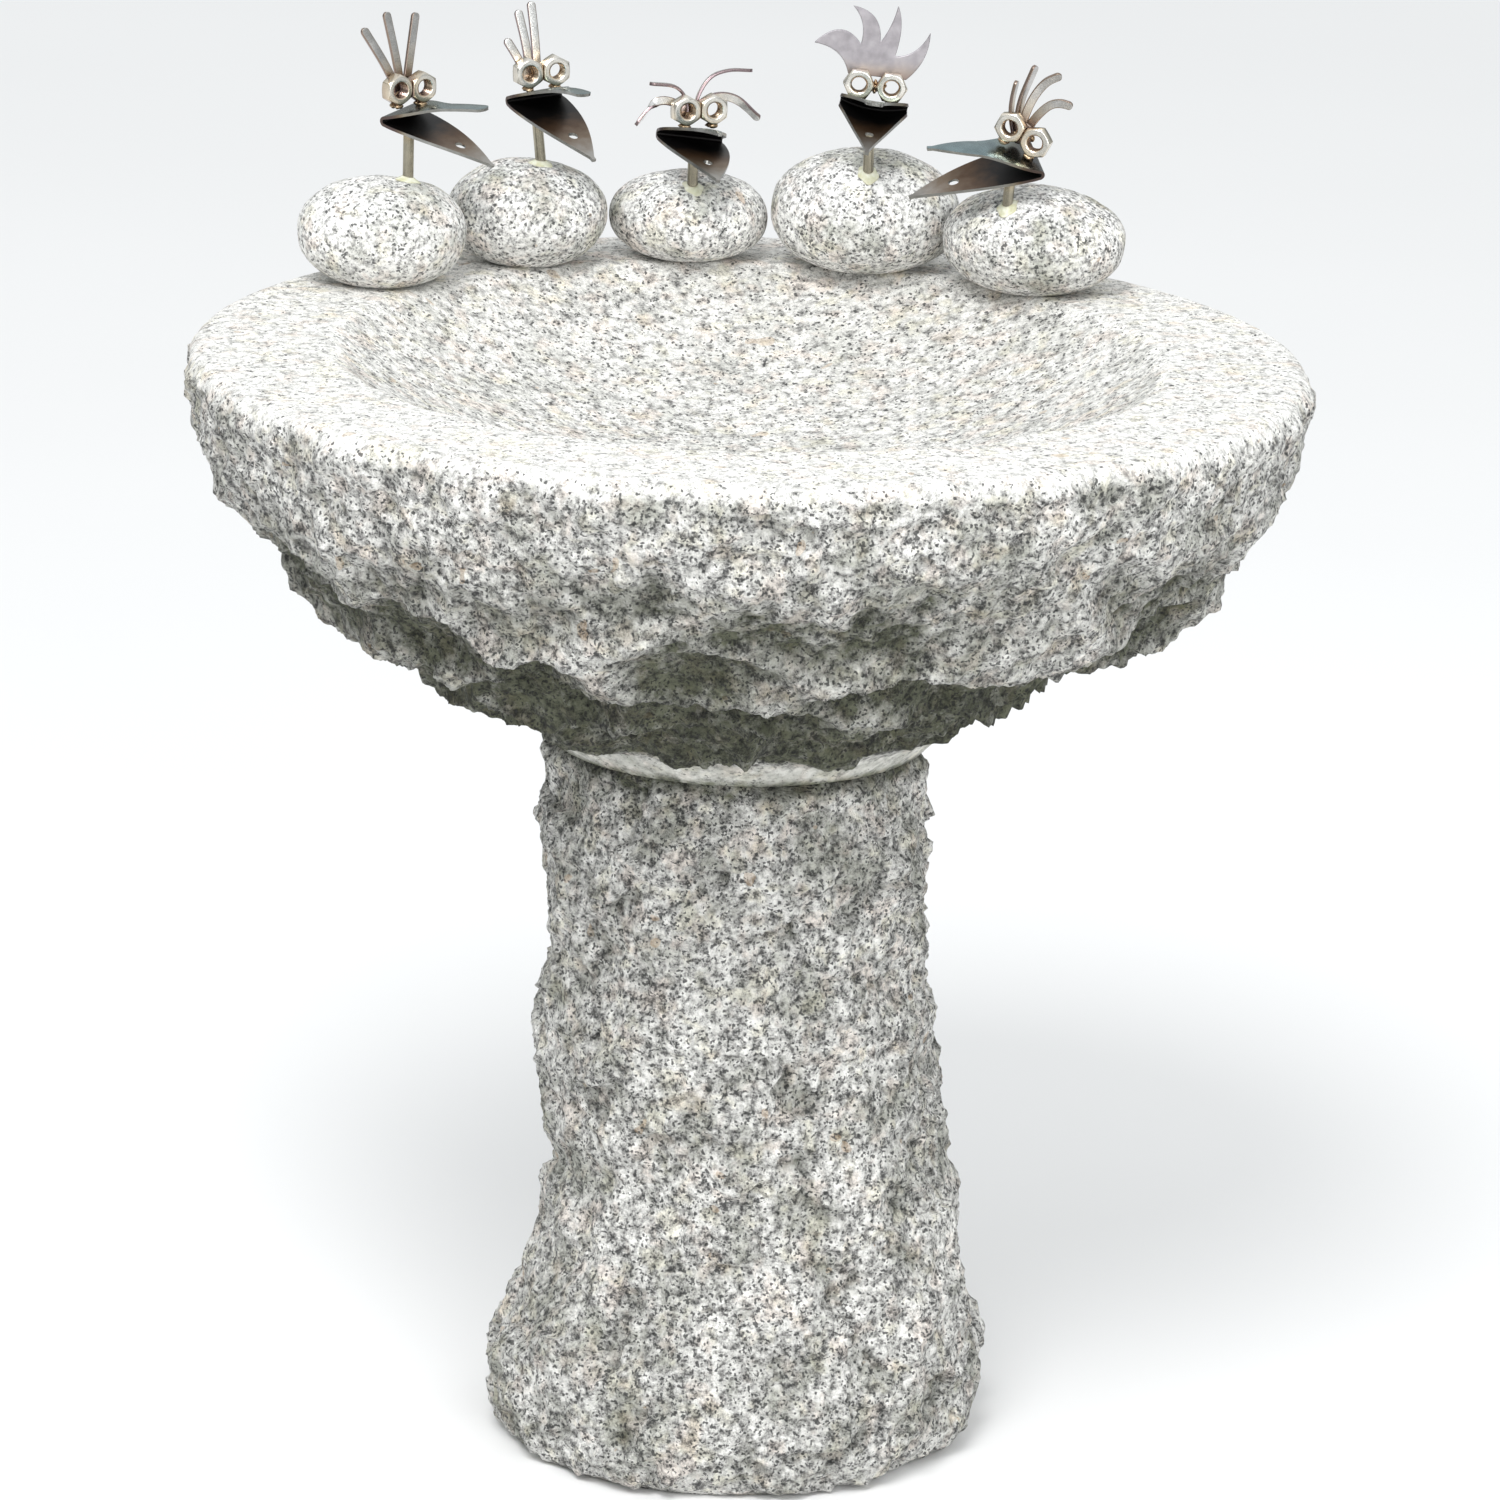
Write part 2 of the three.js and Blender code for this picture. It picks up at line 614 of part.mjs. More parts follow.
const dowel = new THREE.CylinderGeometry(DOWEL_RADIUS, DOWEL_RADIUS, DOWEL_LENGTH, ROUND_NUT);
dowel.rotateX(Math.PI / 2);
const dowelMesh = named('centre_dowel', dowel, material.stainless());
dowelMesh.position.z = COLUMN_TOP - DOWEL_IN_COLUMN + DOWEL_LENGTH / 2;
birdbath.add(dowelMesh);

const bowl = named('bowl', bowlGeometry(), material.dressedGranite());
bowl.position.z = JOINT_HEIGHT;
birdbath.add(bowl);

function addBird(bird) {
  const { name, stone, neck, eyes } = bird;
  const onRim = new THREE.Group();
  onRim.position.z = RIM_HEIGHT;
  onRim.add(named(`${name}_stone`, stoneGeometry(bird), material.beachStone()));

  const resin = named(`${name}_resin_collar`, resinGeometry(bird), material.resin());
  resin.position.set(neck.x, neck.y, stoneTop(stone, neck.x, neck.y));
  onRim.add(resin);

  const head = headFrame(bird.head, bird.head.gaze, bird.head.roll);
  const rod = named(`${name}_neck_rod`, neckGeometry(bird, head), material.stainless());
  rod.position.copy(resin.position);
  onRim.add(rod);
  birdbath.add(onRim);

  const beak = named(`${name}_beak`, beakGeometry(bird.beak), material.stainless());
  head.decompose(beak.position, beak.quaternion, beak.scale);
  birdbath.add(beak);

  const above = FOLD_RADIUS + SHEET / 2 + NUT_LIFT + eyes.lift;
  const climb = NUT_FORWARD * Math.tan(radians(bird.beak.raise));
  const halfNut = eyes.corner ? NUT_FLATS / Math.sqrt(3) : NUT_FLATS / 2;
  const fold = new THREE.Group();
  fold.position.set(bird.head.x, bird.head.y, bird.head.z);
  const seat = new THREE.Vector3(NUT_FORWARD, eyes.side, above + climb + halfNut);
  seat.applyMatrix4(head).sub(fold.position);
  const gaze = headFrame(seat, eyes.gaze, eyes.roll);
  [['left', 1], ['right', -1]].forEach(([side, sign]) => {
    const nut = named(`${name}_${side}_eye_nut`, nutGeometry(eyes.corner), material.tintedSteel());
    gaze.decompose(nut.position, nut.quaternion, nut.scale);
    nut.translateY((sign * eyes.spacing) / 2);
    fold.add(nut);
  });

  (bird.strips ?? []).forEach((strip, i) => {
    const geometry = stripGeometry(strip, CREST_BACK + i * (STRIP_THICKNESS + GAP), gaze);
    fold.add(named(`${name}_crest_strip_${i + 1}`, geometry, material.tintedSteel()));
  });
  if (bird.crest) {
    fold.add(named(`${name}_crest`, crestGeometry(bird.crest, gaze), material.tintedSteel()));
  }
  if (bird.plate) {
    const plate = named(`${name}_crest_plate`, flameGeometry(), material.tintedSteel());
    plate.position.copy(behindEyes(bird.plate.right, bird.plate.up, CREST_BACK, gaze));
    plate.rotation.set(-CREST_LEAN, 0, radians(eyes.gaze), 'ZXY');
    fold.add(plate);
  }
  birdbath.add(fold);
}

BIRDS.forEach(addBird);

export default birdbath;
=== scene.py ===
from math import cos, hypot, pi, radians, sin, sqrt, tan

import bpy
import numpy as np
from mathutils import Matrix, Vector, noise


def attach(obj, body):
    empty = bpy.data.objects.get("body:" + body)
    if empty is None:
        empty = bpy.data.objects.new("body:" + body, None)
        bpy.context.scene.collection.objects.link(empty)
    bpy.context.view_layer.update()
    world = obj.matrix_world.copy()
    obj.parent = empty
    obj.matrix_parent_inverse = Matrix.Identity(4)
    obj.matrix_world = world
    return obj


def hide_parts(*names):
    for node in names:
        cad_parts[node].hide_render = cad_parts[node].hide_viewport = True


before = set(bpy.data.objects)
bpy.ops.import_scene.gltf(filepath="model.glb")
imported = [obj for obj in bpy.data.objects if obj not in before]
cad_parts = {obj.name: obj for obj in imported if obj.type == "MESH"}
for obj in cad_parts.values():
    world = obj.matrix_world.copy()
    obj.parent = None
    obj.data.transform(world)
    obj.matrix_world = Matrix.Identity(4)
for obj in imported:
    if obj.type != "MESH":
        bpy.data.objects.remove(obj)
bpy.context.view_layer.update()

# A granite birdbath: a rough-hewn column, a bowl with a bush-hammered rim and
# basin, and five birds of beach stone and welded steel along the back of the rim.
# Shapes are worked out in millimetres, in the frame's axes, and stored in metres.

MM = 0.001


# ------------------------------------------------------------------ dimensions

RIM_HEIGHT = 508
RIM_RADIUS = 250
BASIN_RADIUS = 185
BASIN_DEPTH = 52
BOWL_HEIGHT = 177
JOINT_HEIGHT = RIM_HEIGHT - BOWL_HEIGHT
FOOT_RADIUS = 86
FOOT_BAND = 13
COLUMN_TOP = JOINT_HEIGHT - 0.3
DOWEL_HOLE = 8.3

STONE_FULLNESS = 2.3
STONE_FLAT = 0.9
NECK_RADIUS = 2.5
NECK_BURIED = 12

SHEET = 2
SHEET_SEEN = 1.4
FOLD_RADIUS = 1.8
LOWER_DROOP = 4
BEAK_HOLE_RADIUS = 2.4
BEAK_TIP = 1.0
BEAK_HOLE_AT = 0.62

NUT_FLATS = 13
NUT_HEIGHT = 6.5
NUT_FORWARD = 6
NUT_LIFT = 1
THREAD_PITCH = 1.25
THREAD_MINOR = 3.35
THREAD_DEPTH = 0.6
THREAD_RINGS = 33

STRIP_WIDTH = 4
STRIP_THICKNESS = 1.6
STRIP_CORNER = 0.12
CREST_LEAN = 0.1
CREST_FOOT = 8
CREST_BACK = 1.1

# Bird by bird, from left to right, with the same meaning as in the CAD source:
# stone centre, size and turn; neck foot and lean; fold position, gaze and roll.
BIRDS = [
    {
        "name": "bird_1",
        "tint": 0.15,
        "stone": {"x": -171, "y": 118, "length": 78, "depth": 68, "height": 49.5, "turn": 8},
        "neck": {"x": -159.6, "y": 118, "lean": 0},
        "head": {"x": -163, "y": 124, "z": 586, "gaze": 56, "roll": 7},
        "beak": {
            "width": 28, "upper": 50, "lower": 52, "raise": 13, "arch": 4, "drop": 13.5,
            "blunt": True,
        },
        "eyes": {"gaze": 38, "roll": 0, "spacing": 13.4, "side": -1.5, "lift": 0.9, "corner": True},
        "strips": [
            {"twist": 0, "line": [(-0.5, 8), (-8, 24), (-18, 41.5)]},
            {"twist": 0, "line": [(0, 8), (-3.6, 27), (-8.2, 47.5)]},
            {"twist": 0, "line": [(0.8, 8), (2.8, 27), (4.8, 45.5)]},
        ],
    },
    {
        "name": "bird_2",
        "tint": 0.0,
        "crest_painted_highlight": True,
        "stone": {"x": -106.5, "y": 173, "length": 76, "depth": 68, "height": 48.5, "turn": -4},
        "neck": {"x": -100.2, "y": 168, "lean": -0.11},
        "head": {"x": -103.6, "y": 176, "z": 585.5, "gaze": 32, "roll": 3},
        "beak": {
            "width": 30, "upper": 50, "lower": 55, "raise": 19, "arch": 8.5, "drop": 15,
            "blunt": True,
        },
        "eyes": {"gaze": 24, "roll": 3, "spacing": 13.4, "side": 0, "lift": 0, "corner": True},
        "strips": [
            {"twist": 0, "line": [(-3.5, 8), (-8, 18), (-14.2, 28.3)]},
            {"twist": 0, "line": [(-2.6, 8), (-5, 24), (-9.2, 41)]},
            {"twist": 0, "line": [(0.5, 8), (-1, 26), (-3.4, 44.3)]},
        ],
    },
    {
        "name": "bird_3",
        "tint": 0.03,
        "crest_painted_highlight": True,
        "stone": {"x": -31, "y": 195, "length": 75, "depth": 66, "height": 41.5, "turn": 4},
        "neck": {"x": -29.3, "y": 175, "lean": 0},
        "head": {"x": -31, "y": 183.5, "z": 567.5, "gaze": 18, "roll": -8},
        "beak": {
            "width": 33, "upper": 44, "lower": 50, "raise": 18, "arch": 6, "drop": 6,
            "blunt": False,
        },
        "eyes": {"gaze": 22, "roll": 0, "spacing": 13.4, "side": 0, "lift": 1, "corner": True},
        "crest": {
            "back": 2.6,
            "palm": (-0.5, 12, 5.5),
            "fingers": [
                {"twist": 75, "line": [(-1.6, 9), (-2.4, 17.5), (-7.8, 24), (-19.6, 26)]},
                {"twist": 10, "line": [(-3, 11), (-8, 16.5), (-16.5, 17), (-25.6, 7)]},
                {"twist": 75, "line": [(1.5, 9), (3, 19), (8.5, 27.5), (17, 30.5), (28, 30)]},
                {"twist": 10, "line": [(2, 11), (9.5, 18), (20.4, 17), (32, 7)]},
            ],
        },
    },
    {
        "name": "bird_4",
        "tint": 0.05,
        "stone": {"x": 52, "y": 184, "length": 90, "depth": 76, "height": 55.5, "turn": 0},
        "neck": {"x": 52.4, "y": 160, "lean": 0},
        "head": {"x": 53.8, "y": 168, "z": 586.4, "gaze": -2, "roll": -7},
        "beak": {
            "width": 32, "upper": 49, "lower": 48, "raise": 15, "arch": 3, "drop": 7,
            "blunt": True, "smile": 2.6, "taper": 1.15,
        },
        "eyes": {"gaze": 0, "roll": -5, "spacing": 15.2, "side": -0.8, "lift": 0.5, "corner": False},
        "plate": (0, 14.5),
    },
    {
        "name": "bird_5",
        "tint": 0.08,
        "stone": {"x": 130, "y": 146, "length": 85, "depth": 72, "height": 48.5, "turn": -6},
        "neck": {"x": 116.6, "y": 126, "lean": 0.06},
        "head": {"x": 127.4, "y": 129, "z": 573, "gaze": -77, "roll": -20},
        "beak": {
            "width": 29, "upper": 52, "lower": 58, "raise": 12, "arch": 6, "drop": 14,
            "blunt": False,
        },
        "eyes": {"gaze": -16, "roll": -27, "spacing": 13.6, "side": 0, "lift": 0.8, "corner": True},
        "crest": {
            "back": 2.6,
            "palm": (-5.5, 12.5, 5.5),
            "fingers": [
                {"twist": 80, "line": [(-8.5, 9), (-10.4, 19), (-10.2, 27), (-8.5, 35.7)]},
                {"twist": 60, "line": [(-7, 9), (-7.4, 18), (-5.6, 28.5), (-0.1, 43.3)]},
                {"twist": 15, "line": [(-6, 9), (-5, 17), (-1.2, 27.5), (4.5, 35.6), (11.6, 39.8)]},
                {"twist": 0, "line": [(-4, 9), (-1, 17), (5.5, 24.6), (11, 26.9), (17.2, 26)]},
            ],
        },
    },
]

# Flame-shaped crest plate: each tongue is (bulge, tip, inner curve, valley).
FLAME_LEFT = (-12.3, 2.4)
FLAME_RIGHT = (14.7, 0)
FLAME_TONGUES = [
    ((-14.7, 14.3), (-28.4, 16.2), (-15.5, 29), (-6.7, 16.2)),
    ((-3.9, 26.6), (-10.8, 33.8), (3.2, 31.7), (2.4, 17.2)),
    ((8.1, 25.2), (10.1, 34.4), (14, 25.4), (9.4, 10.8)),
    ((20, 10.8), (25.5, 22.4), (25.5, 8.8), FLAME_RIGHT),
]


# --------------------------------------------------------------- mesh helpers


def smoothstep(low, high, value):
    share = np.clip((value - low) / (high - low), 0, 1)
    return share * share * (3 - 2 * share)


def object_from(name, vertices, faces, materials):
    mesh = bpy.data.meshes.new(name)
    mesh.from_pydata((np.asarray(vertices) * MM).tolist(), [], faces)
    for material in materials:
        mesh.materials.append(material)
    mesh.polygons.foreach_set("use_smooth", [True] * len(mesh.polygons))
    piece = bpy.data.objects.new(name, mesh)
    bpy.context.scene.collection.objects.link(piece)
    return piece


def grid_faces(rows, columns, wrap_rows=False, wrap_columns=True):
    """Quads of a grid whose columns, and if asked its rows, close on themselves."""
    faces = []
    for i in range(rows if wrap_rows else rows - 1):
        here, there = i * columns, ((i + 1) % rows) * columns
        for j in range(columns if wrap_columns else columns - 1):
            k = (j + 1) % columns
            faces.append((here + j, here + k, there + k, there + j))
    return faces


def closed_surface(name, rows, materials, wrap_rows=False):
    """A skin through closed rings of points, with its two ends capped."""
    count, columns = rows.shape[:2]
    faces = grid_faces(count, columns, wrap_rows)
    if not wrap_rows:
        faces.append(tuple(reversed(range(columns))))
        faces.append(tuple(range((count - 1) * columns, count * columns)))
    return object_from(name, rows.reshape(-1, 3), faces, materials)


def set_attribute(piece, name, values):
    attribute = piece.data.attributes.new(name, "FLOAT", "POINT")
    attribute.data.foreach_set("value", np.asarray(values, np.float32).ravel())


def describe_stone(piece, dressed=0.0, smooth=0.0, hollow=0.0):
    """Store point by point how far the stone is dressed or turned smooth, and how much moss and painted
    shade it gets (hollow).
    """
    count = len(piece.data.vertices)
    for name, values in (("dressed", dressed), ("smooth", smooth), ("hollow", hollow)):
        set_attribute(piece, name, np.broadcast_to(np.ravel(values), count))


def place(piece, body, slot, *nodes):
    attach(piece, body)
    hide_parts(*nodes)


def turned(profile, segments):
    """Rings of points of a turned shape; angle 0 is towards +X."""
    angle = np.linspace(0, 2 * pi, segments, endpoint=False)
    radius, height = profile[:, 0, None], profile[:, 1, None]
    level = np.broadcast_to(height, (len(profile), segments))
    return np.stack([radius * np.cos(angle), radius * np.sin(angle), level], -1)


def spline(points, spacing):
    """Points every so many millimetres along a smooth curve through the given ones."""
    points = np.asarray(points, float)
    ends = np.vstack([2 * points[0] - points[1], points, 2 * points[-1] - points[-2]])
    dense = []
    for a, b, c, d in zip(ends, ends[1:], ends[2:], ends[3:]):
        for t in np.linspace(0, 1, 24, endpoint=False):
            cubic = (3 * b - a - 3 * c + d) * t**3 + (2 * a - 5 * b + 4 * c - d) * t**2
            dense.append(0.5 * (cubic + (c - a) * t + 2 * b))
    dense.append(points[-1])
    return resample(np.array(dense), spacing)


def resample(line, spacing):
    steps = np.linalg.norm(np.diff(line, axis=0), axis=1)
    length = np.concatenate([[0], np.cumsum(steps)])
    count = max(int(length[-1] / spacing), 2) + 1
    at = np.linspace(0, length[-1], count)
    return np.stack([np.interp(at, length, line[:, k]) for k in range(line.shape[1])], -1)


def grid_normals(rows):
    """Outward normals of rings that run upwards on the outside of a body."""
    along = np.gradient(rows, axis=0)
    around = (np.roll(rows, -1, 1) - np.roll(rows, 1, 1)) / 2
    normal = np.cross(around, along)
    return normal / np.maximum(np.linalg.norm(normal, axis=-1, keepdims=True), 1e-9)


# ---------------------------------------------------------------- stone noise

STONE_SEED = 5
noise.seed_set(STONE_SEED)


def fractal(points, size, octaves=4, seed=0.0):
    flat = (points.reshape(-1, 3) / size + seed).tolist()
    values = [noise.fractal(p, 1.0, 2.0, octaves) for p in flat]
    return np.array(values).reshape(points.shape[:-1])


def wander(points, size, seed=0.0):
    """Smooth random vectors, to bend the borders of chips."""
    flat = (points.reshape(-1, 3) / size + seed).tolist()
    return np.array([noise.noise_vector(p) for p in flat]).reshape(points.shape)


def chips(points, size, seed=0.0):
    """Scooped chips with sharp ridges between them: -1 deep in a hollow, 1 on a ridge."""
    bent = points + 0.35 * size * wander(points, size * 1.1, seed)
    flat = (bent.reshape(-1, 3) / size + seed).tolist()
    nearest = np.array([noise.voronoi(p)[0][0] for p in flat]).reshape(points.shape[:-1])
    return np.clip(3.6 * (nearest**1.6 - 0.33), -1, 1.4)


def facets(points, size, seed=0.0):
    """Split faces: every cell is a little plane, tilted its own way."""
    bent = points + 0.2 * size * wander(points, size * 0.6, seed)
    heights = []
    for p in (bent.reshape(-1, 3) / size + seed).tolist():
        centre = noise.voronoi(p)[1][0]
        tilt = noise.noise_vector(centre * 5.3 + Vector((seed, 0, 0)))
        heights.append(2.4 * tilt.dot(Vector(p) - centre) + 1.2 * tilt.x)
    return np.clip(heights, -1, 1).reshape(points.shape[:-1])


def scoops(azimuth, along):
    """Round scoops in staggered rows on a turned face: -1 deep inside, up to 1 on a ridge."""
    random = np.random.default_rng(SCOOP_SEED)
    rows = int(along.max() / SCOOP_HEIGHT) + 3
    shift = random.uniform(-0.42, 0.42, (rows, SCOOPS_AROUND, 2))
    power = random.uniform(-0.16, 0.22, (rows, SCOOPS_AROUND))
    a, b = azimuth / (2 * pi) * SCOOPS_AROUND, along / SCOOP_HEIGHT + 1
    lowest = np.full(a.shape, 9.0)
    for step_a in (-1, 0, 1):
        for step_b in (-1, 0, 1):
            i, j = np.floor(a).astype(int) + step_a, np.floor(b).astype(int) + step_b
            row = np.clip(j, 0, rows - 1)
            column = (i + row // 2) % SCOOPS_AROUND
            da = a - (i + 0.5 + shift[row, column, 0])
            db = b - (j + 0.5 + shift[row, column, 1])
            lowest = np.minimum(lowest, da * da + db * db - power[row, column])
    return np.clip(4.2 * (lowest - 0.16), -1, 1.3)


def chiselled(azimuth, height, seed):
    wide = np.sin(3 * azimuth + height * 0.031 + seed)
    middle = np.sin(7 * azimuth - height * 0.057 + 2.1 * seed)
    small = np.sin(13 * azimuth + height * 0.11 + 0.7 * seed)
    return 0.5 * wide + 0.32 * middle + 0.18 * small


# ------------------------------------------------------------------- materials


class Nodes:
    """A material's node tree, built by short calls: a value is a number or a socket."""

    def __init__(self, name):
        self.material = bpy.data.materials.new(name)
        self.material.use_nodes = True
        self.tree = self.material.node_tree
        self.shader = self.tree.nodes["Principled BSDF"]

    def add(self, kind, inputs=None, **settings):
        node = self.tree.nodes.new(kind)
        for key, value in settings.items():
            setattr(node, key, value)
        for key, value in (inputs or {}).items():
            self.feed(node.inputs[key], value)
        return node

    def feed(self, socket, value):
        if isinstance(value, bpy.types.NodeSocket):
            self.tree.links.new(value, socket)
        else:
            socket.default_value = value

    def math(self, operation, *values):
        node = self.tree.nodes.new("ShaderNodeMath")
        node.operation = operation
        for socket, value in zip(node.inputs, values):
            self.feed(socket, value)
        return node.outputs[0]

    def plus(self, a, b):
        return self.math("ADD", a, b)

    def minus(self, a, b):
        return self.math("SUBTRACT", a, b)

    def times(self, a, b):
        return self.math("MULTIPLY", a, b)

    def attribute(self, name):
        return self.add("ShaderNodeAttribute", attribute_name=name).outputs["Fac"]

    def ramp(self, value, stops):
        node = self.add("ShaderNodeValToRGB", {"Fac": value})
        elements = node.color_ramp.elements
        while len(elements) < len(stops):
            elements.new(0.5)
        for element, (at, color) in zip(elements, stops):
            element.position = at
            element.color = (*color, 1)
        return node.outputs["Color"]

    def mix(self, share, a, b, blend="MIX"):
        node = self.add("ShaderNodeMix", data_type="RGBA", blend_type=blend)
        self.feed(node.inputs[0], share)
        for socket, value in ((node.inputs[6], a), (node.inputs[7], b)):
            plain = isinstance(value, tuple) and len(value) == 3
            self.feed(socket, (*value, 1) if plain else value)
        return node.outputs[2]

    def coordinates(self):
        return self.add("ShaderNodeTexCoord").outputs["Object"]

    def noise(self, where, grain, detail=3.0, roughness=0.55, output="Fac"):
        """Noise whose features are about grain millimetres across."""
        inputs = {"Vector": where, "Scale": 1 / (grain * MM), "Detail": detail, "Roughness": roughness}
        return self.add("ShaderNodeTexNoise", inputs).outputs[output]

    def crystals(self, where, grain):
        inputs = {"Vector": where, "Scale": 1 / (grain * MM)}
        return self.add("ShaderNodeTexVoronoi", inputs)

    def finish(self, **values):
        for key, value in values.items():
            self.feed(self.shader.inputs[key.replace("_", " ")], value)
        return self.material

    def bump(self, height, distance, strength=1.0):
        inputs = {"Height": height, "Distance": distance * MM, "Strength": strength}
        return self.add("ShaderNodeBump", inputs).outputs["Normal"]


def grey(value, warmth=0.0):
    return (value * (1 + 0.6 * warmth), value, value * (1 - 2.4 * warmth))


def stone_color(n, where, grains, patch, dressed):
    """Pale and dark grains, clouded over hands' breadths, with stains and ripple lines."""
    cloudy = n.ramp(patch, [(0.36, (0.6, 0.61, 0.57)), (0.5, grey(0.94)), (0.62, grey(1.1))])
    rough = n.minus(1.0, n.times(0.9, dressed))
    color = n.mix(rough, grains, cloudy, "MULTIPLY")
    ripple = n.minus(n.noise(where, 3.6, 2.0), 0.5)
    ripple = n.math("LESS_THAN", n.math("ABSOLUTE", ripple), 0.02)
    ripple = n.times(ripple, n.times(dressed, 0.55))
    color = n.mix(ripple, color, (0.3, 0.3, 0.29))
    stain = n.noise(where, 13, 2.0, output="Color")
    stain = n.add("ShaderNodeSeparateColor", {"Color": stain})
    pink = n.times(n.ramp(stain.outputs[0], [(0.53, grey(0)), (0.66, grey(1))]), 0.5)
    color = n.mix(pink, color, n.mix(1.0, color, (1.0, 0.87, 0.8), "MULTIPLY"))
    cream = n.times(n.ramp(stain.outputs[1], [(0.55, grey(0)), (0.66, grey(1))]), 0.6)
    color = n.mix(cream, color, n.mix(1.0, color, (1.0, 0.97, 0.84), "MULTIPLY"))
    rust = n.noise(where, 14, 1.0)
    rust = n.times(n.math("GREATER_THAN", rust, 0.75), 0.4)
    return n.mix(rust, color, (0.5, 0.34, 0.19))


def crooked(n, where, grain):
    """Coordinates bent a little, so that crystals have uneven borders."""
    wobble = n.noise(where, 2.6, 2.0, output="Color")
    wobble = n.add("ShaderNodeVectorMath", {0: wobble}, operation="SCALE")
    wobble.inputs["Scale"].default_value = 1.6 * grain * MM
    return n.add("ShaderNodeVectorMath", {0: where, 1: wobble.outputs[0]}, operation="ADD").outputs[0]


def mica(n, where, bent, grain, share, worked):
    """1 on the dark mica crystals, which come in clusters and are fewer where it is worked."""
    specks = n.crystals(bent, 1.1 * grain)
    pick = n.add("ShaderNodeSeparateColor", {"Color": specks.outputs["Color"]}).outputs[1]
    cluster = n.noise(where, 8, 3.0)
    keep = n.minus(1.0, n.times(0.7, worked))
    limit = n.times(n.times(share, keep), n.times(2.0, cluster))
    return n.math("LESS_THAN", pick, limit)


# Share of dark green where the hollow attribute asks for it: moss and painted shade together, broken up
# by noise.
def moss_and_shade_share(n, where, patch, hollow):
    broken = n.noise(where, 11, 5.0, 0.7)
    uneven = n.plus(n.times(0.6, patch), n.times(1.6, broken))
    moss_and_shade = n.plus(hollow, n.minus(uneven, 1.1))
    moss_and_shade = n.math("MINIMUM", n.math("MAXIMUM", moss_and_shade, 0.0), 1.0)
    return n.times(moss_and_shade, n.math("GREATER_THAN", hollow, 0.01))


def granite(name, tones, clump, mica_share, grain, relief):
    """Granite of pale and dark grains; the mesh says where it is dressed or smooth, and how much moss
    and painted shade darken it.
    """
    n = Nodes(name)
    where = n.coordinates()
    dressed, smooth, hollow = n.attribute("dressed"), n.attribute("smooth"), n.attribute("hollow")
    grains = n.noise(where, clump, 6.0, 0.78)
    lift = n.plus(n.times(dressed, 0.066), n.times(smooth, 0.05))
    patch = n.noise(where, 30, 5.0, 0.68)
    color = stone_color(n, where, n.ramp(n.plus(grains, lift), tones), patch, dressed)
    bent = crooked(n, where, grain)
    dark = mica(n, where, bent, grain, mica_share, n.math("MAXIMUM", dressed, smooth))
    color = n.mix(n.times(dark, 0.85), color, (0.028, 0.03, 0.03))
    # Dark green: moss, and painted shade in recesses, under the bowl and along the smooth band's lower
    # edge.
    mossy_and_shaded = n.mix(1.0, color, (0.14, 0.15, 0.105), "MULTIPLY")
    color = n.mix(moss_and_shade_share(n, where, patch, hollow), color, mossy_and_shaded)
    rubbed = n.times(n.minus(smooth, hollow), 0.5)
    color = n.mix(rubbed, color, (0.4, 0.4, 0.36))

    crumbs = n.noise(where, 1.2 * grain, 4.0, 0.6)
    cells = n.crystals(bent, 3.4 * grain).outputs["Distance"]
    lumps = n.noise(where, 6.5 * grain, 3.0, 0.6)
    height = n.plus(n.times(crumbs, 0.42), n.times(0.34, cells))
    height = n.plus(height, n.times(0.8, lumps))
    calm = n.minus(1.0, n.times(0.85, smooth))
    calm = n.times(calm, n.minus(1.0, n.times(0.45, dressed)))
    normal = n.bump(n.times(height, calm), relief, 1.0)
    gloss = n.minus(0.88, n.times(0.35, n.times(dark, crumbs)))
    return n.finish(Base_Color=color, Roughness=gloss, Normal=normal)


def steel(name, color, roughness, scorch_and_shade_strength=0.0):
    """Brushed stainless steel; the mesh says where welding has coloured it, and where painted shade
    darkens it, as in the nut bores and along the crest strips' edges.
    """
    n = Nodes(name)
    where = n.coordinates()
    cloud = n.noise(where, 7, 3.0)
    shade = n.ramp(cloud, [(0.3, tuple(0.72 * c for c in color)), (0.7, tuple(1.1 * c for c in color))])
    if scorch_and_shade_strength:
        uneven = n.times(0.35, n.minus(cloud, 0.5))
        near = n.plus(n.attribute("scorch_and_shade"), uneven)
        stops = [(0.1, grey(1)), (0.36, (0.98, 0.88, 0.74)), (0.55, (0.58, 0.44, 0.34))]
        tints = n.ramp(near, [*stops, (0.75, (0.3, 0.22, 0.24)), (0.95, (0.15, 0.13, 0.12))])
        shade = n.mix(scorch_and_shade_strength, shade, n.mix(1.0, shade, tints, "MULTIPLY"))
    scratch = n.add("ShaderNodeMapping", {"Vector": where, "Scale": (1, 1, 9)}).outputs[0]
    lines = n.noise(scratch, 1.2, 4.0, 0.7)
    rough = n.plus(roughness - 0.09, n.times(0.18, lines))
    normal = n.bump(lines, 0.05, 0.5)
    return n.finish(Base_Color=shade, Metallic=1.0, Roughness=rough, Normal=normal)


def shaded_mouth_steel():
    """Inner faces of a beak: painted shade and reflection, darkest in the fold, clearing to steel at
    the tips.
    """
    n = Nodes("shaded_mouth_steel")
    where = n.coordinates()
    cloud = n.noise(where, 5, 3.0)
    uneven = n.times(0.25, n.minus(cloud, 0.5))
    depth = n.plus(n.attribute("fold_depth"), uneven)
    stops = [(0.06, (0.3, 0.29, 0.27)), (0.3, (0.16, 0.12, 0.085)), (0.5, (0.08, 0.045, 0.024))]
    color = n.ramp(depth, [*stops, (0.72, (0.008, 0.007, 0.007))])
    normal = n.bump(n.noise(where, 0.8, 3.0), 0.05, 0.4)
    return n.finish(Base_Color=color, Metallic=0.7, Roughness=0.38, Normal=normal)


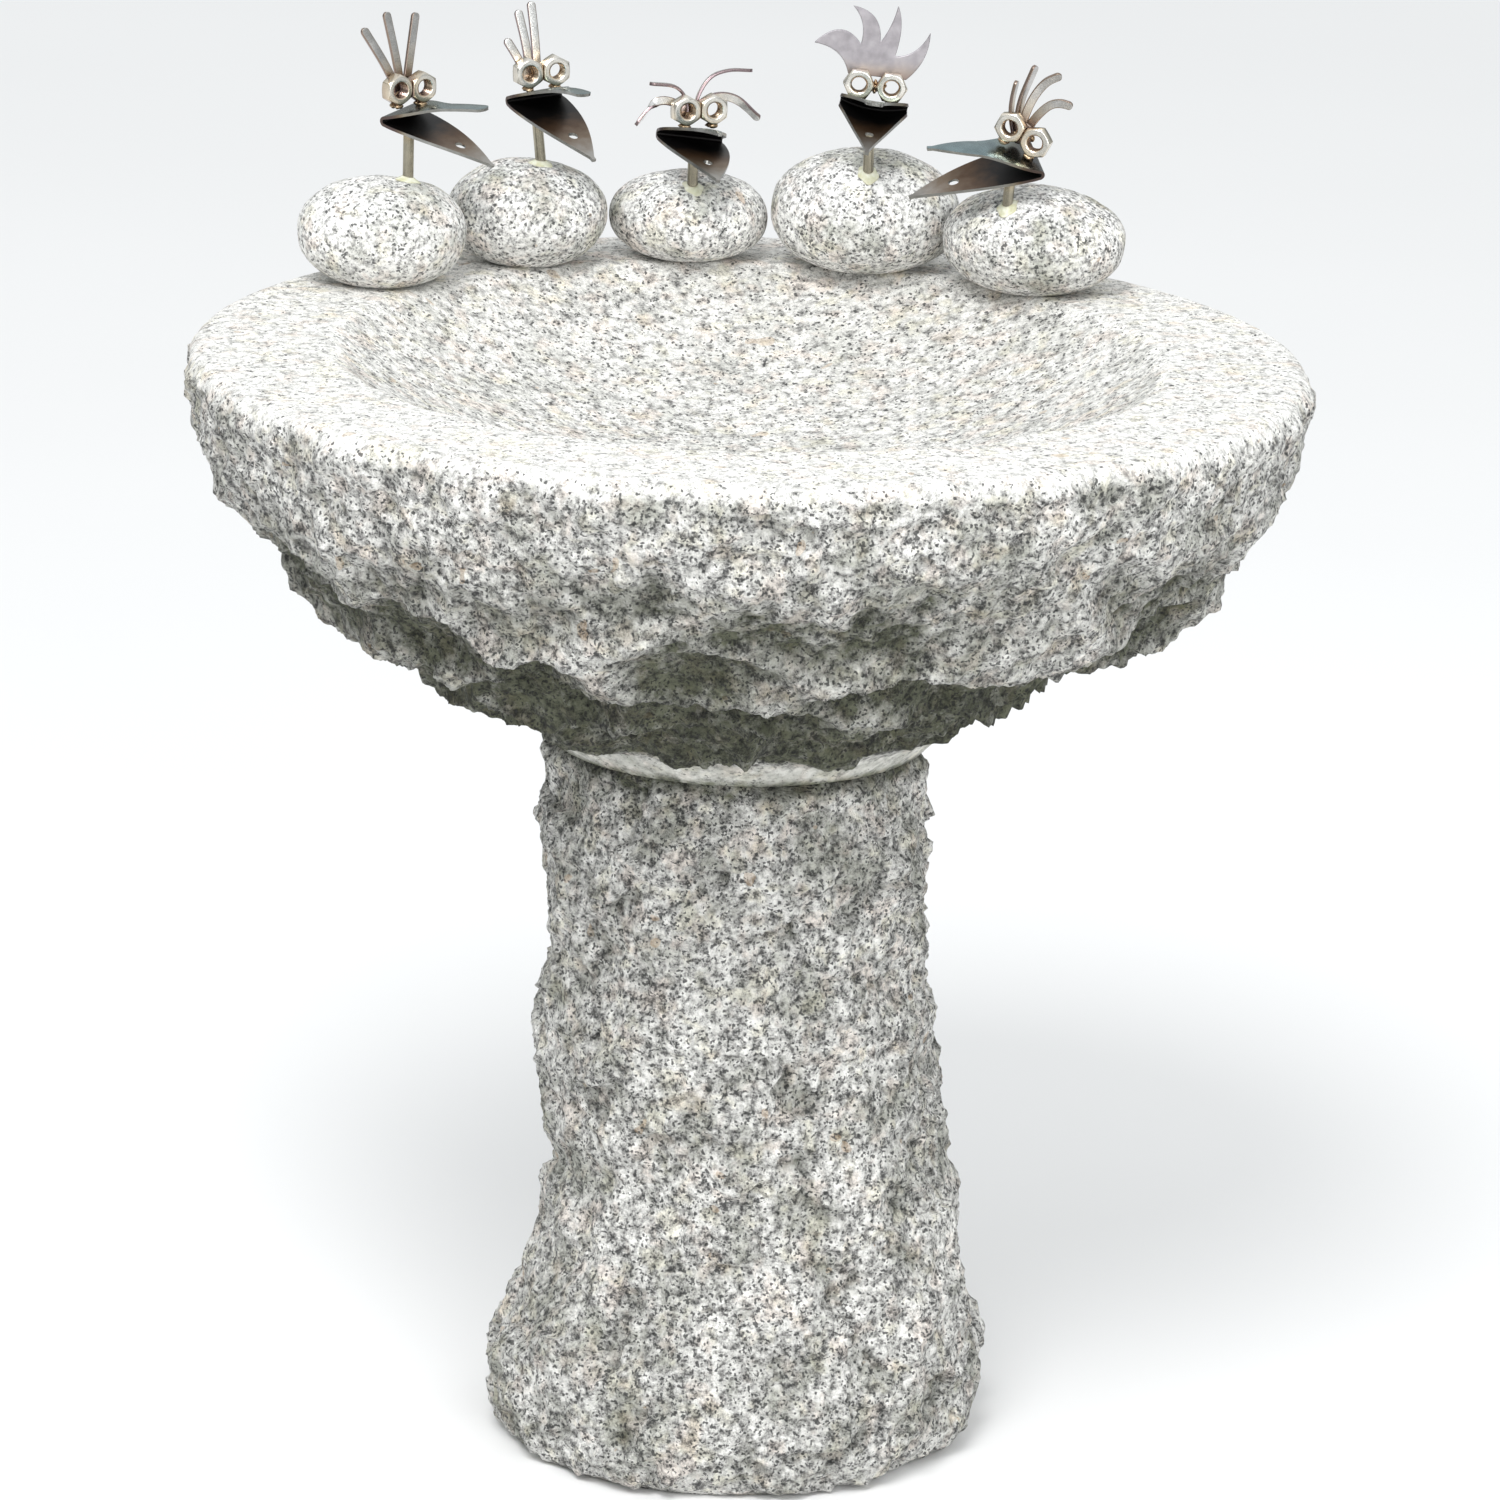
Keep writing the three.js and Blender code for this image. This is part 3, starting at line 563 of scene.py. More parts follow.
def resin_material():
    n = Nodes("stone_resin")
    where = n.coordinates()
    cloud = n.noise(where, 3, 2.0)
    color = n.ramp(cloud, [(0.3, (0.6, 0.57, 0.36)), (0.7, (0.8, 0.78, 0.64))])
    normal = n.bump(cloud, 0.3, 0.5)
    return n.finish(Base_Color=color, Roughness=0.22, Normal=normal, Subsurface_Weight=0.1)


def floor_material():
    n = Nodes("pale_floor")
    where = n.coordinates()
    cloud = n.noise(where, 900, 2.0)
    color = n.ramp(cloud, [(0.3, grey(0.84)), (0.7, grey(0.86))])
    return n.finish(Base_Color=color, Roughness=0.9)


ROUGH_TONES = [
    (0.36, grey(0.07)), (0.43, grey(0.28, 0.015)),
    (0.5, grey(0.61, 0.015)), (0.59, grey(0.9, 0.015)),
]
PEBBLE_TONES = [
    (0.38, grey(0.17)), (0.45, grey(0.44, 0.01)),
    (0.53, grey(0.8, 0.01)), (0.62, grey(0.93, 0.01)),
]

HEWN = granite("hewn_granite", ROUGH_TONES, 4.8, 0.13, 1.0, 4.6)
DRESSED = granite("dressed_granite", ROUGH_TONES, 4.8, 0.13, 1.0, 4.6)
PEBBLE = granite("beach_stone", PEBBLE_TONES, 2.5, 0.1, 1.0, 0.9)
BRIGHT = steel("bright_steel", (0.4, 0.37, 0.29), 0.24, 0.9)
UPPER = steel("blued_steel", (0.2, 0.26, 0.27), 0.26, 0.9)
EDGE = steel("cut_edge_steel", (0.31, 0.31, 0.295), 0.32, 1.0)
NUT_STEEL = steel("nut_steel", (0.76, 0.74, 0.69), 0.2, 1.0)
CREST_STEEL = steel("crest_steel", (0.58, 0.57, 0.56), 0.28, 0.95)
# A lighter copy of the crest steel, for the crests of birds 2 and 3: painted highlight.
CREST_HIGHLIGHT_STEEL = steel("pale_steel", (0.88, 0.88, 0.87), 0.26, 0.95)
FLAME_STEEL = steel("flame_steel", (0.37, 0.35, 0.37), 0.46, 0.8)
WELD = steel("weld_metal", (0.46, 0.34, 0.22), 0.3)
MOUTH = shaded_mouth_steel()
RESIN = resin_material()


# --------------------------------------------------------------- stone column

COLUMN_SEGMENTS = 340
COLUMN_PROFILE = [
    (98, 0), (106, 6), (111, 15), (113, 28), (111, 41), (106.5, 58), (100, 74), (95, 92),
    (92, 114), (88.5, 141), (90, 168), (88, 192), (85, 217), (84.5, 240), (86.5, 268),
    (87.5, 291), (85.5, 311), (84, COLUMN_TOP - 5), (80, COLUMN_TOP),
]


def column_shift(height):
    return 11 * np.exp(-(((height - 112) / 58) ** 2)) + 4.5 * (1 - height / COLUMN_TOP)


def make_column():
    outside = spline(COLUMN_PROFILE, 1.8)
    foot = np.stack([np.linspace(6, 97, 30), np.zeros(30)], -1)
    top = np.stack([np.linspace(79, DOWEL_HOLE + 2, 20), np.full(20, COLUMN_TOP)], -1)
    rows = turned(np.vstack([foot, outside, top]), COLUMN_SEGMENTS)
    z = rows[..., 2]
    radius = np.hypot(rows[..., 0], rows[..., 1])
    azimuth = np.arctan2(rows[..., 1], rows[..., 0])
    skin = smoothstep(70, 82, radius)
    calm = smoothstep(0, 14, z) * (1 - smoothstep(COLUMN_TOP - 16, COLUMN_TOP, z)) * skin
    scale = 1 + 1.8 * calm * chiselled(azimuth, z, 1.3) / np.maximum(radius, 1)
    rows[..., 0] = rows[..., 0] * scale + column_shift(z) * smoothstep(-1, 12, z) * skin
    rows[..., 1] *= scale
    ends = smoothstep(0, 6, z) * (1 - smoothstep(COLUMN_TOP - 7, COLUMN_TOP - 1, z)) * skin
    broad = chips(rows * (1, 1, 1.25), 36, 3.0)
    small = chips(rows, 13, 8.0)
    rough = fractal(rows, 6, 4, 5.0)
    split = 3.0 * facets(rows, 27, 2.0) + 0.9 * facets(rows, 11, 7.0)
    depth = 2.4 * broad + 0.7 * small + split + 1.7 * rough
    rows = rows + grid_normals(rows) * (depth * ends)[..., None]
    rows[..., 2] = np.clip(rows[..., 2], 0, COLUMN_TOP)
    column = closed_surface("column", rows, [HEWN])
    # Painted shade, coloured moss green by the material: darker on the column's top under the bowl and
    # in the deepest pits.
    under = smoothstep(COLUMN_TOP - 12, COLUMN_TOP - 2, z) * 0.8
    pits = np.clip(0.16 * (-1.4 - depth), 0, 0.6)
    describe_stone(column, hollow=np.clip(pits + under, 0, 1))
    place(column, "pedestal", "granite_hewn", "pedestal_column")


# ----------------------------------------------------------------- stone bowl

BOWL_SEGMENTS = 700
SCOOPS_AROUND = 21
SCOOP_HEIGHT = 29
SCOOP_SEED = 11
BOWL_UNDERSIDE = [
    (FOOT_RADIUS, 0), (FOOT_RADIUS + 12, FOOT_BAND - 1), (FOOT_RADIUS + 15, FOOT_BAND + 1),
    (109, 18), (124, 29), (143, 41), (162, 53),
    (181, 67), (201, 81), (217, 97), (231, 115), (240.5, 133), (246.5, 151),
    (RIM_RADIUS, 165), (249.6, 171), (247, 175.4), (242, BOWL_HEIGHT),
]


def basin_profile():
    share = np.linspace(1, 0.01, 90)
    drop = 1.2 + (BASIN_DEPTH - 1.2) * (1 - share**2.3)
    edge = [(240, BOWL_HEIGHT), (212, BOWL_HEIGHT), (188, BOWL_HEIGHT - 0.1)]
    wall = np.stack([BASIN_RADIUS * share, BOWL_HEIGHT - drop], -1)
    return np.vstack([edge, wall])


def make_bowl():
    hole = [(DOWEL_HOLE, 28), (DOWEL_HOLE, 1), (DOWEL_HOLE + 1, 0), (FOOT_RADIUS - 1, 0)]
    outside = spline(BOWL_UNDERSIDE, 1.7)
    inside = resample(basin_profile(), 1.8)
    profile = np.vstack([resample(np.array(hole, float), 3), outside, inside])
    rows = turned(profile, BOWL_SEGMENTS)
    rows[..., 2] += JOINT_HEIGHT
    local = rows[..., 2] - JOINT_HEIGHT
    radius = np.hypot(rows[..., 0], rows[..., 1])
    azimuth = np.arctan2(rows[..., 1], rows[..., 0])
    below = np.zeros(local.shape)
    below[: len(rows) - len(inside)] = 1
    skin = smoothstep(FOOT_BAND + 1, 30, local) * (1 - smoothstep(140, 168, local)) * below
    swell = 1 + 3.2 * skin * chiselled(azimuth, local * 1.4, 4.2) / np.maximum(radius, 1)
    rows[..., :2] *= swell[..., None]

    hewn = smoothstep(FOOT_BAND + 1, FOOT_BAND + 7, local) * (1 - smoothstep(166, 176, local)) * below
    lower = 1 - smoothstep(62, 150, local)
    steps = np.linalg.norm(np.diff(rows[:, 0], axis=0), axis=1)
    travelled = np.concatenate([[0], np.cumsum(steps)])[:, None] + 0 * local
    bend = wander(rows, 30, 4.0)
    broad = scoops(azimuth + 0.07 * bend[..., 0], travelled + 11 * bend[..., 1])
    middle = chips(rows * (1, 1, 1.25), 20, 6.0)
    fine = fractal(rows, 7, 4, 1.0)
    near_joint = 0.35 + 0.65 * smoothstep(FOOT_BAND, FOOT_BAND + 26, local)
    chipped = (1.0 + 5.6 * lower) * near_joint * broad + (1.4 - 0.4 * lower) * middle
    split = 2.6 * facets(rows, 27, 3.0) * (1 - 0.5 * lower) + 1.0 * facets(rows, 11, 5.0)
    worked = 1 - smoothstep(RIM_RADIUS - 8, RIM_RADIUS - 2, radius) * below
    pecked = 0.5 * fractal(rows, 5, 3, 9.0) * worked * (1 - hewn) * (local > FOOT_BAND + 20)
    ridge = np.exp(-(((radius - BASIN_RADIUS) / 7) ** 2)) * (1 - below)
    wavy = 1.3 * ridge * fractal(rows, 22, 3, 4.0)
    depth = hewn * (chipped + split + (1.5 + 0.9 * lower) * fine) + pecked + wavy
    rows = rows + grid_normals(rows) * depth[..., None]
    rows[..., 2] -= 0.3 * hewn * lower * np.clip(chipped, 0, 8)
    rows[..., 2] = np.minimum(rows[..., 2], RIM_HEIGHT + 0.2)
    bowl = closed_surface("bowl_stone", rows, [DRESSED])
    # Moss and painted shade: in the deepest pits and the scoops, darker towards the bottom of the bowl,
    # and over the smooth band with a painted shadow line along its lower edge.
    pits = np.clip(0.16 * (-1.8 - depth), 0, 0.6)
    shaded = lower * (0.78 - 0.46 * broad - 0.14 * middle) + 0.85 * (1 - smoothstep(30, 108, local))
    on_band = below * (1 - smoothstep(FOOT_BAND, FOOT_BAND + 4, local))
    band_shadow = on_band * (0.95 - 0.6 * smoothstep(0, 5, local))
    hollow = np.clip(hewn * (pits + shaded) + band_shadow, 0, 1)
    basin = smoothstep(BASIN_RADIUS, BASIN_RADIUS - 6, radius) * (1 - below)
    dressed = (1 - below) + below * smoothstep(166, 175, local) - 0.36 * basin
    band = below * (1 - smoothstep(FOOT_BAND - 2, FOOT_BAND + 3, local))
    describe_stone(bowl, dressed, band, hollow)
    place(bowl, "bowl", "granite_dressed", "bowl")


# ---------------------------------------------------------------- bird stones


def stone_half(stone):
    return stone["height"] / (1 + STONE_FLAT)


def stone_top(stone, x, y):
    """Height of a stone's top above the ground at a point of the plan."""
    half, turn = stone_half(stone), radians(stone["turn"])
    dx, dy = x - stone["x"], y - stone["y"]
    along = (dx * cos(turn) + dy * sin(turn)) / (stone["length"] / 2)
    across = (dy * cos(turn) - dx * sin(turn)) / (stone["depth"] / 2)
    share = np.clip(1 - along**2 - across**2, 0, 1)
    return RIM_HEIGHT + 0.3 + STONE_FLAT * half + half * share ** (1 / STONE_FULLNESS)


PALE_FIRST = 0.2  # the first bird's stone is a little paler than the others


def make_stone(bird, seed):
    stone, half = bird["stone"], stone_half(bird["stone"])
    polar = np.linspace(0.012, pi - 0.012, 110)[:, None]
    azimuth = np.linspace(0, 2 * pi, 190, endpoint=False)[None, :]
    z = -np.cos(polar) * np.ones_like(azimuth)
    girth = np.maximum(1 - np.abs(z) ** STONE_FULLNESS, 0) ** 0.5
    rows = np.stack([girth * np.cos(azimuth), girth * np.sin(azimuth), z], -1)
    rows *= (stone["length"] / 2, stone["depth"] / 2, half)
    lumps = 1.3 * fractal(rows, 34, 2, 10.0 * seed) + 0.35 * fractal(rows, 9, 3, 3.0 * seed)
    bottom = smoothstep(-STONE_FLAT, -0.5, z)
    rows = rows + grid_normals(rows) * (lumps * bottom - 0.25)[..., None]
    rows[..., 2] = np.maximum(rows[..., 2], -STONE_FLAT * half)
    turn = radians(stone["turn"])
    spin = np.array([[cos(turn), -sin(turn), 0], [sin(turn), cos(turn), 0], [0, 0, 1]])
    rows = rows @ spin.T + (stone["x"], stone["y"], RIM_HEIGHT + 0.3 + STONE_FLAT * half)
    body = closed_surface(f"{bird['name']}_pebble", rows, [PEBBLE])
    describe_stone(body, dressed=PALE_FIRST if seed == 1 else 0.0)
    place(body, bird["name"], "beach_stone", f"{bird['name']}_stone")


# ------------------------------------------------------------------ bird heads


def head_frame(position, gaze, roll):
    """4x4 frame on the fold: X ahead along the gaze, Y to the bird's left, Z up."""
    heading = radians(gaze)
    ahead = Vector((sin(heading), -cos(heading), 0))
    left = Vector((cos(heading), sin(heading), 0))
    left.rotate(Matrix.Rotation(radians(roll), 3, ahead))
    up = ahead.cross(left)
    basis = Matrix((ahead, left, up)).transposed().to_4x4()
    return Matrix.Translation(position) @ basis


def in_frame(matrix, points):
    m = np.array(matrix)
    return points @ m[:3, :3].T + m[:3, 3]


BEAK_COLUMNS = 57
UPPER_STATIONS = 70
FOLD_STATIONS = 13
LOWER_STATIONS = 120


def beak_stations(beak):
    """Middle line (x, z), half width and depth in the mouth, from upper to lower tip."""
    raised, dropped = radians(beak["raise"]), radians(beak["drop"])
    half = beak["width"] / 2
    stations = []
    for share in np.sin(np.linspace(pi / 2, 0.03, UPPER_STATIONS)):
        reach = beak["upper"] * share
        height = FOLD_RADIUS + reach * sin(raised) - beak["arch"] * share**2
        stations.append((reach * cos(raised), height, upper_half(beak, half, share), share, 1))
    for turn in np.linspace(pi / 2, 1.5 * pi, FOLD_STATIONS):
        stations.append((FOLD_RADIUS * cos(turn), FOLD_RADIUS * sin(turn), half * 0.985, 0, 0))
    for share in np.sin(np.linspace(0.03, pi / 2, LOWER_STATIONS)):
        reach = beak["lower"] * share
        height = -FOLD_RADIUS - reach * sin(dropped) - LOWER_DROOP * share**3
        stations.append((reach * cos(dropped), height, lower_half(beak, half, share), share, -1))
    return np.array(stations)


def upper_half(beak, half, share):
    narrow = 4.6 if beak["blunt"] else 6
    if share < 0.5:
        return half - (half - narrow) * smoothstep(0.04, 0.56, share)
    if beak["blunt"]:
        straight = narrow - 0.9 * (share - 0.5) / 0.5
        tip = max((share - 0.93) / 0.07, 0)
        return straight * sqrt(max(1 - tip**2, 0.12))
    return max(narrow * (1 - ((share - 0.5) / 0.5) ** 1.7), BEAK_TIP)


def lower_half(beak, half, share):
    bulge = max((share - 0.06) / 0.94, 0)
    return max(half * (1 - bulge ** beak.get("taper", 2.1)) * (1 - 0.12 * bulge), BEAK_TIP)


def open_hole(points, stations, centre_x):
    """Draw the grid lines round the leaf's hole onto a circle; returns each point's ring."""
    lower = stations[:, 4] < 0
    middle = points.shape[1] // 2
    row = int(np.argmin(np.where(lower, np.abs(stations[:, 0] - centre_x), 99)))
    down = round(0.9 * BEAK_HOLE_RADIUS / abs(stations[row + 1, 0] - stations[row, 0]))
    across = round(0.9 * BEAK_HOLE_RADIUS / abs(points[row, middle + 1, 1]))
    i, j = np.indices(points.shape[:2])
    ring = np.maximum(np.abs(i - row) / down, np.abs(j - middle) / across)
    dx, dy = points[..., 0] - centre_x, points[..., 1].copy()
    radius = np.maximum(np.hypot(dx, dy), 1e-3)
    share = np.clip((ring - 1) / 1.4, 0, 1)
    scale = (BEAK_HOLE_RADIUS + (radius - BEAK_HOLE_RADIUS) * share) / radius
    slope = np.gradient(stations[:, 1])[row] / np.gradient(stations[:, 0])[row]
    points[..., 0] += dx * (scale - 1)
    points[..., 1] += dy * (scale - 1)
    points[..., 2] += slope * dx * (scale - 1)
    return ring


def make_solid(piece):
    """Keep the piece's modifiers as real geometry, with crisp shading on its edges."""
    solid = piece.evaluated_get(bpy.context.evaluated_depsgraph_get())
    mesh = bpy.data.meshes.new_from_object(solid)
    piece.modifiers.clear()
    piece.data = mesh
    mesh.set_sharp_from_angle(angle=radians(38))


def make_beak(bird, head):
    beak, name = bird["beak"], bird["name"]
    stations = beak_stations(beak)
    across = np.linspace(-1, 1, BEAK_COLUMNS)
    y = stations[:, 2, None] * across
    hollowed = 0.5 * np.minimum(stations[:, 2] / 6, 1) ** 1.5 * smoothstep(0, 0.3, stations[:, 3])
    cup = (hollowed * stations[:, 4])[:, None] * (1 - across**2)
    x = np.broadcast_to(stations[:, 0, None], y.shape)
    smile = beak.get("smile", 0) * across**2 * (1 - smoothstep(0, 0.7, stations[:, 3]))[:, None]
    z = stations[:, 1, None] + cup + smile
    points = np.stack([x, y, z], -1)
    ring = open_hole(points, stations, beak["lower"] * BEAK_HOLE_AT).ravel()
    quads = grid_faces(*y.shape, wrap_columns=False)
    quads = [quad for quad in quads if max(ring[list(quad)]) > 1]
    world = in_frame(head, points.reshape(-1, 3))
    piece = object_from(f"{name}_folded_beak", world, quads, [UPPER, MOUTH, EDGE])
    depth = 1 - stations[:, 3]
    set_attribute(piece, "fold_depth", np.repeat(depth, y.shape[1]))
    seat = np.hypot(points[..., 0] - NUT_FORWARD, points[..., 1] * 0.55)
    on_top = np.where(stations[:, 4] > 0, 1, 0.55)[:, None]
    fold = 0.7 * smoothstep(0.66, 0.92, depth)[:, None]
    burnt = np.maximum(0.6 * np.exp(-((seat / 10) ** 2)) * on_top, fold)
    set_attribute(piece, "scorch_and_shade", burnt)
    thick = piece.modifiers.new("sheet", "SOLIDIFY")
    thick.thickness = SHEET_SEEN * MM
    thick.offset = 0
    thick.material_offset = 1
    thick.material_offset_rim = 2
    make_solid(piece)
    place(piece, name, "stainless", f"{name}_beak")


def half_nut(eyes):
    """Half height of a nut that stands on a corner or on a flat."""
    return NUT_FLATS / sqrt(3) if eyes["corner"] else NUT_FLATS / 2


def hexagon_columns():
    """Angle and outer radius of each column round a nut, with tight corners."""
    reach = NUT_FLATS / 2 * tan(pi / 6)
    angles, radii = [], []
    for side in range(6):
        for t in (-0.97, -0.88, -0.66, -0.4, -0.13, 0.13, 0.4, 0.66, 0.88, 0.97):
            angles.append(side * pi / 3 + np.arctan2(t * reach, NUT_FLATS / 2))
            radii.append(hypot(t * reach, NUT_FLATS / 2))
    return np.array(angles), np.array(radii)


def nut_rings(corner):
    """Rings of points round a threaded hexagon nut whose axis is local X."""
    angle, outer = hexagon_columns()
    half, face = NUT_HEIGHT / 2, NUT_FLATS / 2 - 0.35
    fall = np.clip((outer - face) * tan(radians(32)), 0, None)
    mouth = THREAD_MINOR + THREAD_DEPTH + 0.35
    rings = []

    def ring(radius, height):
        rings.append((radius * np.ones_like(angle), height * np.ones_like(angle)))

    for side in (1, -1):
        part = [
            (mouth, half - 0.02), (mouth + 0.25, half), (face - 0.2, half),
            (face, half - 0.02), (outer - 0.12, half - fall + 0.04), (outer, half - fall - 0.16),
        ]
        for radius, height in part if side > 0 else reversed(part):
            ring(radius, side * height)
    for height in np.linspace(-half + 0.55, half - 0.55, THREAD_RINGS):
        phase = height / THREAD_PITCH - angle / (2 * pi)
        tooth = np.abs((phase % 1) * 2 - 1)
        rings.append((THREAD_MINOR + THREAD_DEPTH * tooth, np.full_like(angle, height)))
    turn = angle + (0 if corner else pi / 6)
    points = [np.stack([h, r * np.sin(turn), r * np.cos(turn)], -1) for r, h in rings]
    return np.array(points)


def make_nuts(bird, gaze):
    eyes, name = bird["eyes"], bird["name"]
    for side, sign in (("left", 1), ("right", -1)):
        shifted = gaze @ Matrix.Translation((0, sign * eyes["spacing"] / 2, 0))
        rings = nut_rings(not eyes["corner"])
        points = in_frame(shifted, rings.reshape(-1, 3)).reshape(rings.shape)
        nut = closed_surface(f"{name}_{side}_hex_nut", points, [NUT_STEEL], wrap_rows=True)
        inner = np.clip(-sign * rings[..., 1] / (NUT_FLATS / 2), 0, 1)
        low = np.clip(-rings[..., 2] / (NUT_FLATS / 2), 0, 1)
        back = np.clip(-rings[..., 0] / 3.2, 0, 1)
        burnt = 0.3 * inner**2 + 0.3 * low**2 + 0.15 * back
        radius = np.hypot(rings[..., 1], rings[..., 2])
        bore = radius < THREAD_MINOR + THREAD_DEPTH + 0.2
        flank = (radius > NUT_FLATS / 2 - 0.2) & (np.abs(rings[..., 0]) < NUT_HEIGHT / 2 - 0.15)
        # Scorch from the welds below, between and behind the nuts; 0.4 * bore is painted shade inside
        # the threaded bore.
        set_attribute(nut, "scorch_and_shade", burnt + 0.4 * bore + 0.16 * flank + bird["tint"])
        place(nut, name, "tinted_steel", f"{name}_{side}_eye_nut")


def behind_eyes(right, up, back, gaze):
    """Point of a crest seen at (right, up) from the fold, behind the eye nuts."""
    ahead, seat = gaze.col[0].to_3d(), gaze.translation
    behind = NUT_HEIGHT / 2 + back + CREST_LEAN * (up - CREST_FOOT)
    depth = seat.y - (behind + (right - seat.x) * ahead.x + (up - seat.z) * ahead.z) / ahead.y
    return Vector((right, depth, up))


def rounded_square(corner):
    """Points round a square of side 1 with rounded corners."""
    points = []
    for k, (sx, sy) in enumerate(((1, 1), (-1, 1), (-1, -1), (1, -1))):
        for turn in np.linspace(k * pi / 2, (k + 1) * pi / 2, 4):
            x = sx * (0.5 - corner) + corner * cos(turn)
            y = sy * (0.5 - corner) + corner * sin(turn)
            points.append((x, y))
    return np.array(points)


def make_strip(name, strip, back, gaze, fold, material):
    """A flat strip with a round end that follows a gently curved line."""
    anchors = [behind_eyes(*point, back, gaze) for point in strip["line"]]
    dense = spline([tuple(p) for p in anchors], 0.1)
    length, half = 0.1 * (len(dense) - 1), STRIP_WIDTH / 2
    shaft = np.arange(0, length - half, 0.8)
    travelled = np.append(shaft, length - half + half * np.sin(np.linspace(0, 0.495 * pi, 12)))
    picked = np.round(travelled / length * (len(dense) - 1)).astype(int)
    line = dense[picked]
    tangent = np.gradient(dense, axis=0)[picked]
    tangent /= np.linalg.norm(tangent, axis=1, keepdims=True)
    start = Vector(tangent[0])
    across = gaze.col[1].to_3d()
    across = (across - start * across.dot(start)).normalized()
    across.rotate(Matrix.Rotation(radians(strip["twist"]), 3, start))
    section = rounded_square(STRIP_CORNER)
    rows = []
    for centre, direction, left in zip(line, tangent, length - travelled):
        side = np.array(across) - direction * float(np.dot(across, direction))
        side /= np.linalg.norm(side)
        flat = np.cross(direction, side)
        taper = sqrt(max(1 - max(1 - left / half, 0) ** 2, 0.01))
        width = STRIP_WIDTH * taper
        offset = section[:, :1] * width * side + section[:, 1:] * STRIP_THICKNESS * flat
        rows.append(centre + offset)
    rows = np.array(rows)
    piece = closed_surface(name, rows + np.array(fold), [material])
    travelled = np.repeat(travelled, rows.shape[1])
    # The strip's narrow edges are darkened along their whole length: painted shade. Only the root, near
    # the weld, gets scorch.
    shaded_edges = np.tile(np.abs(section[:, 0]) > 0.4, len(line))
    root_share, edge_shade_share = (0.5, 0.75) if material is CREST_HIGHLIGHT_STEEL else (0.8, 0.6)
    root = root_share * np.exp(-((travelled / 17) ** 2))
    set_attribute(piece, "scorch_and_shade", np.maximum(root, edge_shade_share * shaded_edges))
    return piece


def join_pieces(pieces, name):
    whole = pieces[0]
    with bpy.context.temp_override(active_object=whole, selected_editable_objects=pieces):
        bpy.ops.object.join()
    whole.name = name
    return whole


def make_crest(bird, gaze, fold):
    name = bird["name"]
    # Birds 2 and 3 get the lighter crest steel: painted highlight.
    material = CREST_HIGHLIGHT_STEEL if bird.get("crest_painted_highlight") else CREST_STEEL
    for i, strip in enumerate(bird.get("strips", [])):
        back = CREST_BACK + i * (STRIP_THICKNESS + 0.3)
        piece = make_strip(f"{name}_crest_bar_{i + 1}", strip, back, gaze, fold, material)
        place(piece, name, "tinted_steel", f"{name}_crest_strip_{i + 1}")
    if "crest" in bird:
        crest = bird["crest"]
        fingers = [
            make_strip(f"{name}_finger_{i + 1}", finger, crest["back"], gaze, fold, material)
            for i, finger in enumerate(crest["fingers"])
        ]
        palm = make_palm(crest, gaze, fold, material)
        whole = join_pieces([*fingers, palm], f"{name}_fingered_crest")
        place(whole, name, "tinted_steel", f"{name}_crest")
    if "plate" in bird:
        make_flame(bird, gaze, fold)


def make_palm(crest, gaze, fold, material):
    right, up, radius = crest["palm"]
    centre = behind_eyes(right, up, crest["back"], gaze)
    angle = np.linspace(0, 2 * pi, 40, endpoint=False)
    rows = []
    for depth, share in ((-0.95, 0.5), (-0.95, 0.9), (-0.6, 1), (0.6, 1), (0.95, 0.9), (0.95, 0.5)):
        edge = radius * share * (1 + 0.08 * np.sin(3 * angle))
        ring = np.stack([np.full(40, depth), -edge * np.cos(angle), edge * np.sin(angle)], -1)
        rows.append(ring)
    turn = np.array(gaze.to_3x3())
    rows = np.array(rows) @ turn.T + np.array(centre) + np.array(fold)
    palm = closed_surface("palm", rows, [material])
    set_attribute(palm, "scorch_and_shade", np.full(rows.shape[0] * rows.shape[1], 0.62))
    return palm


def quadratic(a, b, c, steps):
    a, b, c = np.array(a, float), np.array(b, float), np.array(c, float)
    t = np.linspace(0, 1, steps, endpoint=False)[:, None]
    return (1 - t) ** 2 * a + 2 * t * (1 - t) * b + t**2 * c


